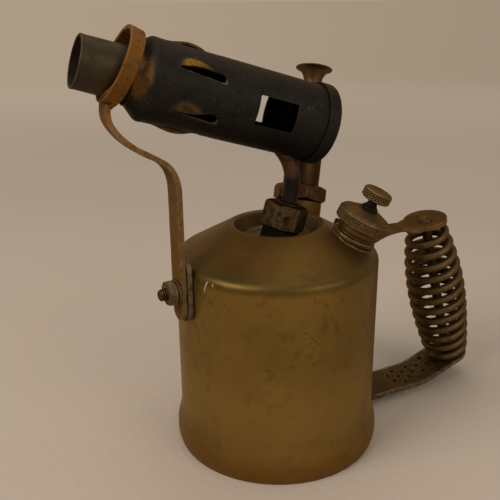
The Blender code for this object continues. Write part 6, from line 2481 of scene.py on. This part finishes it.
@dataclass
class Stay(Assembly):
    """The burner's stay: backing plate, strap with a hoop, threaded stud, washer and nut."""

    tank: Tank
    aim: Aim
    plate_width: float = 0.0120
    plate_thickness: float = 0.0020
    plate_bottom: float = 0.0715
    plate_top: float = 0.1015
    bolt_height: float = 0.0860
    bolt_radius: float = 0.0027
    bolt_reach: float = 0.0610
    thread_pitch: float = 0.0011
    thread_depth: float = 0.00060
    turn: float = math.radians(4.0)
    width: float = 0.0095
    flare: float = 0.32
    thickness: float = 0.0022
    end_drop: float = 0.0135
    straight_top: float = 0.1280
    hoop_place: float = 0.0884
    hoop_lift: float = 0.0024
    hoop_lean: float = math.radians(10.5)
    hoop_inner: float = 0.0145
    hoop_thickness: float = 0.0018
    hoop_width: float = 0.0060
    gusset_steps: int = 12
    gusset_turn: float = math.radians(62)
    washer_radius: float = 0.0056
    washer_thickness: float = 0.0010
    nut_flats: float = 0.0100
    nut_height: float = 0.0038
    line_shares: tuple[tuple[float, float], ...] = (
        (0.00, 0.00), (0.00, 0.15), (0.03, 0.25), (0.09, 0.33), (0.19, 0.39), (0.34, 0.445), (0.60, 0.535),
        (0.78, 0.62), (0.91, 0.71), (1.00, 0.81), (1.02, 0.90), (1.00, 1.00)
    )

    def bolt_axis(self) -> Matrix:
        """The stud's frame, +Z out of the tank's side."""
        return placed(Vector((0, 0, self.bolt_height)), Vector((-1, 0, 0)), self.turn)

    def wall(self) -> float:
        """Distance of the strap's middle from the tank's axis."""
        return self.tank.radius + 2 * FIT_GAP + self.plate_thickness + self.thickness / 2

    def hoop_centre(self) -> Vector:
        """Centre of the hoop, before the burner's turn about the tank."""
        return self.aim.point(self.hoop_place, self.hoop_lift)

    def strap_line(self) -> Points:
        """The strap's centre line, from its lower end up to the hoop, as smooth points with y for height.

        Returns:
            The line's points.
        """
        hoop = self.hoop_centre()
        lean = self.aim.rise + self.hoop_lean
        reach = self.hoop_inner + self.hoop_thickness / 2
        foot = Vector((-hoop.x + reach * math.sin(lean), hoop.z - reach * math.cos(lean)))
        rise = foot.y - self.straight_top
        out = foot.x - self.wall()
        start = self.bolt_height - self.end_drop
        points = [
            Vector((-self.wall(), start)),
            Vector((-self.wall(), (self.bolt_height + self.straight_top) / 2))
        ]
        points += [
            Vector((-self.wall() - out * a, self.straight_top + rise * b)) for a, b in self.line_shares
        ]
        return smooth_line(points, 10)

    def strap(self) -> Solid:
        """The strap, turned from the tank's side to the burner's, with its round lower end.

        Returns:
            The strap, from the tank's axis.
        """
        line = self.strap_line()
        lengths = [0.0]
        for before, after in zip(line, line[1:]):
            lengths.append(lengths[-1] + (after - before).length)
        foot_height = self.hoop_centre().z - self.hoop_inner
        total = lengths[-1]

        def surface(along: float, across: float) -> Vector:
            """Lays the grid along the strap's line.

            Args:
                along: the share of the length.
                across: the place across, from -1 to 1.

            Returns:
                The point, from the tank's axis.
            """
            travel = total * (1 - math.cos(along * UPRIGHT))
            k = 0
            while k < len(line) - 2 and lengths[k + 1] < travel:
                k += 1
            share = (travel - lengths[k]) / (lengths[k + 1] - lengths[k])
            place = line[k].lerp(line[k + 1], share)
            half = self.width / 2 * (1 + self.flare * ease(travel, total * 0.60, total * 0.88))
            if travel < half:
                half = math.sqrt(max(half ** 2 - (half - travel) ** 2, 0.0)) + 0.00002
            twist = ease(place.y, self.straight_top, foot_height)
            turn = self.turn + (self.aim.turn - self.turn) * twist
            point = Vector((place.x, across * half, place.y))
            return Matrix.Rotation(turn, 3, "Z") @ point

        return Solid.plate(surface, 150, 10, self.thickness, 0.0005)

    def gusset(self) -> Solid:
        """The twisted web where the strap runs into the near side of the hoop.

        Returns:
            The web, from the tank's axis.
        """
        forward, down = self.aim.forward(self.hoop_lean), -self.aim.upward(self.hoop_lean)
        near = Vector((0, -1, 0))
        reach = self.hoop_inner + self.hoop_thickness / 2
        line = self.strap_line()
        low = line[-1 - self.gusset_steps]
        below = line[-2 - self.gusset_steps]
        start = Vector((low.x, 0, low.y))
        rise = (start - Vector((below.x, 0, below.y))).normalized()
        end_turn = self.gusset_turn
        end = self.hoop_centre() + (down * math.cos(end_turn) + near * math.sin(end_turn)) * reach
        heading = near * math.cos(end_turn) - down * math.sin(end_turn)
        pull = (end - start).length

        def surface(along: float, across: float) -> Vector:
            """Lays the grid on the twisted web.

            Args:
                along: the share of the length.
                across: the place across, from -1 to 1.

            Returns:
                The point, from the tank's axis.
            """
            point = between(start, rise * pull, end, heading * pull, along)
            twist = UPRIGHT * ease(along, 0.0, 1.0)
            side = Vector((0, 1, 0)) * math.cos(twist) + forward * math.sin(twist)
            half = (self.width + (self.hoop_width - self.width) * ease(along, 0.2, 1.0)) / 2
            return Matrix.Rotation(self.aim.turn, 3, "Z") @ (point + side * across * half)

        return Solid.plate(surface, 40, 10, self.hoop_thickness * 0.96, 0.0004)

    def build(self) -> None:
        """Makes the stay and its fastening."""
        local = tank_axis().inverted()
        hoop_axis = placed(self.hoop_centre(), self.aim.forward(self.hoop_lean), self.aim.turn)
        hoop = Solid.tube(
            self.hoop_inner + self.hoop_thickness, self.hoop_inner, -self.hoop_width / 2,
            self.hoop_width / 2, 0.0005
        )
        drill = Solid.rod(self.bolt_radius + FIT_GAP, self.tank.radius - OVERRUN, self.bolt_reach + OVERRUN)
        drill.moved(local @ self.bolt_axis())
        strap = self.strap().joined(hoop.moved(local @ hoop_axis)).joined(self.gusset()).cut(drill.copy())

        def roughened(point: Vector) -> Vector:
            """Moves a point by the rust's slow waves."""
            return point + noise.noise_vector(point * 160) * 0.00012

        strap.shifted(roughened)
        strap.publish("burner_stay_bent", tank_axis(), self.looks.rust, Slot.RUST)
        self.build_plate(drill)
        self.build_bolt()

    def build_plate(self, drill: Solid) -> None:
        """The backing plate on the tank.

        Args:
            drill: the cutter for the stud's hole.
        """
        middle = self.tank.radius + FIT_GAP + self.plate_thickness / 2
        half = self.plate_width / 2
        height = self.plate_top - self.plate_bottom

        def surface(along: float, across: float) -> Vector:
            """Lays the grid on the upright plate, closer together towards its round ends.

            Args:
                along: the share of the length.
                across: the place across, from -1 to 1.

            Returns:
                The point, from the tank's axis.
            """
            travel = height * (1 - math.cos(along * math.pi)) / 2
            from_end = min(travel, height - travel)
            width = math.sqrt(max(half ** 2 - max(half - from_end, 0.0) ** 2, 0.0)) + 0.00002
            point = Vector((-middle, across * width, self.plate_bottom + travel))
            return Matrix.Rotation(self.turn, 3, "Z") @ point

        plate = Solid.plate(surface, 80, 14, self.plate_thickness, 0.0005).cut(drill)
        plate.publish("stay_backing_plate_rounded", tank_axis(), self.looks.dull_rust, Slot.STEEL)

    def build_bolt(self) -> None:
        """The threaded stud with its washer and worn nut."""
        axis = self.bolt_axis()
        plate_low = self.tank.radius + FIT_GAP
        washer_low = plate_low + self.plate_thickness + self.thickness + 2 * FIT_GAP
        nut_low = washer_low + self.washer_thickness + FIT_GAP
        nut_high = nut_low + self.nut_height
        rows = round((self.bolt_reach - plate_low) / self.thread_pitch * 8)
        corners = [(0, self.bolt_reach, 0), (self.bolt_radius * 0.72, self.bolt_reach, 0)]
        corners += banded(self.bolt_radius, plate_low, self.bolt_reach - 0.0004, rows)
        corners += [(0, plate_low, 0)]
        stud = Solid.turned(corners, Segments.SMALL)
        threaded(stud, self.thread_pitch, self.thread_depth, self.bolt_radius * 0.8, nut_high)
        stud.publish("stay_stud_threaded", axis, self.looks.gland, Slot.RUST)
        fit = self.bolt_radius + FIT_GAP
        washer = Solid.tube(self.washer_radius, fit, washer_low, washer_low + self.washer_thickness)
        washer.publish("stay_washer_smooth", axis, self.looks.dull_rust, Slot.STEEL)
        body = nut(self.nut_flats, nut_low, nut_high, fit, 0.0007, math.radians(10))
        body.publish("stay_nut_worn", axis, self.looks.dull_rust, Slot.STEEL)


@dataclass
class Studio:
    """The floor, the lights and the camera at the photograph's viewing angle."""

    stand_off: float = 0.3094
    eye_height: float = 0.2062
    bearing: float = math.radians(-30.0)
    yaw: float = math.radians(-2.32)
    pitch: float = math.radians(19.77)
    roll: float = math.radians(-0.59)
    focal_pixels: float = 698.1
    frame_pixels: float = 500.0
    sensor: float = 36.0
    floor_radius: float = 60.0
    floor_colour: Colour = (0.440, 0.357, 0.281)
    middle_colour: Colour = (0.450, 0.364, 0.276)
    far_left: Colour = (0.418, 0.328, 0.240)
    far_right: Colour = (0.345, 0.267, 0.193)
    daylight: Colour = (1.0, 0.965, 0.92)

    def build(self) -> None:
        """Makes the whole studio."""
        self.build_camera()
        self.build_floor()
        self.build_world()
        self.build_lamps()
        scene = bpy.context.scene
        scene.view_settings.view_transform = "Standard"

    def build_camera(self) -> None:
        """The camera, turned as it was fitted to the photograph."""
        turn = Matrix.Rotation(self.bearing, 3, "Z")
        level_share, drop = math.cos(self.pitch), math.sin(self.pitch)
        forward = Vector((math.sin(self.yaw) * level_share, math.cos(self.yaw) * level_share, -drop))
        level = Vector((math.cos(self.yaw), -math.sin(self.yaw), 0))
        upward = level.cross(forward)
        right = level * math.cos(self.roll) + upward * math.sin(self.roll)
        over = upward * math.cos(self.roll) - level * math.sin(self.roll)
        basis = Matrix((turn @ right, turn @ over, turn @ -forward)).transposed().to_4x4()
        place = tank_axis() @ Matrix.Translation(turn @ Vector((0, -self.stand_off, self.eye_height)))
        data = bpy.data.cameras.new("photograph_view")
        data.sensor_width = self.sensor
        data.lens = self.focal_pixels * self.sensor / self.frame_pixels
        data.clip_start = 0.01
        camera = bpy.data.objects.new("photograph_view", data)
        camera.matrix_world = place @ basis
        bpy.context.scene.collection.objects.link(camera)
        bpy.context.scene.camera = camera

    def build_floor(self) -> None:
        """A wide pale floor that fades into the background: its far part glows, painted lighter to the left
        than to the right.
        """
        solid = Solid()
        bmesh.ops.create_circle(solid.shape, cap_ends=True, segments=96, radius=self.floor_radius)
        mesh = bpy.data.meshes.new("floor")
        solid.shape.to_mesh(mesh)
        solid.shape.free()
        floor = bpy.data.objects.new("floor", mesh)
        bpy.context.scene.collection.objects.link(floor)
        shader = Shader("pale_floor")
        # Painted shade: broad blotches darken the floor a little, standing in for the shade of soft folds.
        fold_shade = shader.cloud(0.30, 2.0, 0.4)
        weave = shader.cloud(0.004, 4.0, 0.6)
        colour = shader.mix(
            fold_shade.step(0.35, 0.65) * 0.5, self.floor_colour, tuple(0.93 * c for c in self.floor_colour)
        )
        shader.set(
            Base_Color=colour, Roughness=0.9, Specular_IOR_Level=0.1, Normal=shader.bump(weave, 0.0004)
        )
        distance = shader.vector("DISTANCE", {0: shader.place(), 1: tuple(tank_axis().translation)}, "Value")
        # Painted light: beyond the lamp the floor glows as the backdrop, lighter to the left and darker to
        # the right.
        turned = shader.mapped(turn=(0, 0, self.bearing))
        aside = (shader.axis("X", turned) / distance).step(-0.40, 0.40)
        far = shader.mix(aside, self.far_left, self.far_right)
        far = shader.mix(distance.step(0.5, 1.9), self.middle_colour, far)
        glow = shader.add("ShaderNodeEmission", {}, {"Color": far})
        lit = Signal(shader, shader.surface.outputs[0])
        blend = shader.add("ShaderNodeMixShader", {}, {0: distance.step(0.25, 1.5), 1: lit, 2: glow})
        shader.give(shader.tree.nodes["Material Output"].inputs["Surface"], blend)
        mesh.materials.append(shader.material)

    def build_world(self) -> None:
        """An even pale world; what the camera and mirrors see of it has the background's colour."""
        world = bpy.data.worlds.new("studio")
        bpy.context.scene.world = world
        world.use_nodes = True
        nodes, links = world.node_tree.nodes, world.node_tree.links
        sky = nodes["Background"]
        sky.inputs["Color"].default_value = (*self.daylight, 1.0)
        sky.inputs["Strength"].default_value = 0.45
        seen = nodes.new("ShaderNodeBackground")
        seen.inputs["Color"].default_value = (*self.far_left, 1.0)
        path = nodes.new("ShaderNodeLightPath")
        blend = nodes.new("ShaderNodeMixShader")
        rays = path.outputs["Is Camera Ray"]
        for name in ("Is Glossy Ray", "Is Transmission Ray"):
            either = nodes.new("ShaderNodeMath")
            either.operation = "MAXIMUM"
            links.new(rays, either.inputs[0])
            links.new(path.outputs[name], either.inputs[1])
            rays = either.outputs[0]
        links.new(rays, blend.inputs[0])
        links.new(sky.outputs[0], blend.inputs[1])
        links.new(seen.outputs[0], blend.inputs[2])
        links.new(blend.outputs[0], nodes["World Output"].inputs["Surface"])

    def build_lamps(self) -> None:
        """A large soft key from the upper left, a wide fill from the right and a light from behind."""
        lamps = (
            ("key", (-0.75, -0.55, 0.85), 0.70, 9.0), ("fill", (0.70, -0.60, 0.45), 0.60, 2.6),
            ("top", (0.05, 0.25, 1.00), 0.90, 2.4)
        )
        middle = tank_axis().translation + Vector((0, 0, 0.09))
        for name, offset, size, power in lamps:
            data = bpy.data.lights.new(name, "AREA")
            data.shape = "DISK"
            data.size = size
            data.energy = power
            data.color = self.daylight
            lamp = bpy.data.objects.new(name, data)
            turn = Matrix.Rotation(self.bearing, 3, "Z")
            lamp.location = middle + turn @ Vector(offset)
            lamp.rotation_euler = (middle - lamp.location).to_track_quat("-Z", "Y").to_euler()
            bpy.context.scene.collection.objects.link(lamp)


def main() -> None:
    """Builds the lamp's looks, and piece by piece."""
    logging.basicConfig(level=logging.INFO, format="%(message)s")
    Studio().build()
    aim = Aim()
    looks = Finishes(aim)
    tank, burner = Tank(looks), Burner(looks, aim)
    pump, filler = Pump(looks, tank), Filler(looks, tank)
    tank.build([burner.socket_opening(), pump.opening(), filler.opening()])
    for assembly in (burner, pump, filler, Handle(looks, tank), Stay(looks, tank, aim)):
        assembly.build()


if __name__ == "__main__":
    main()
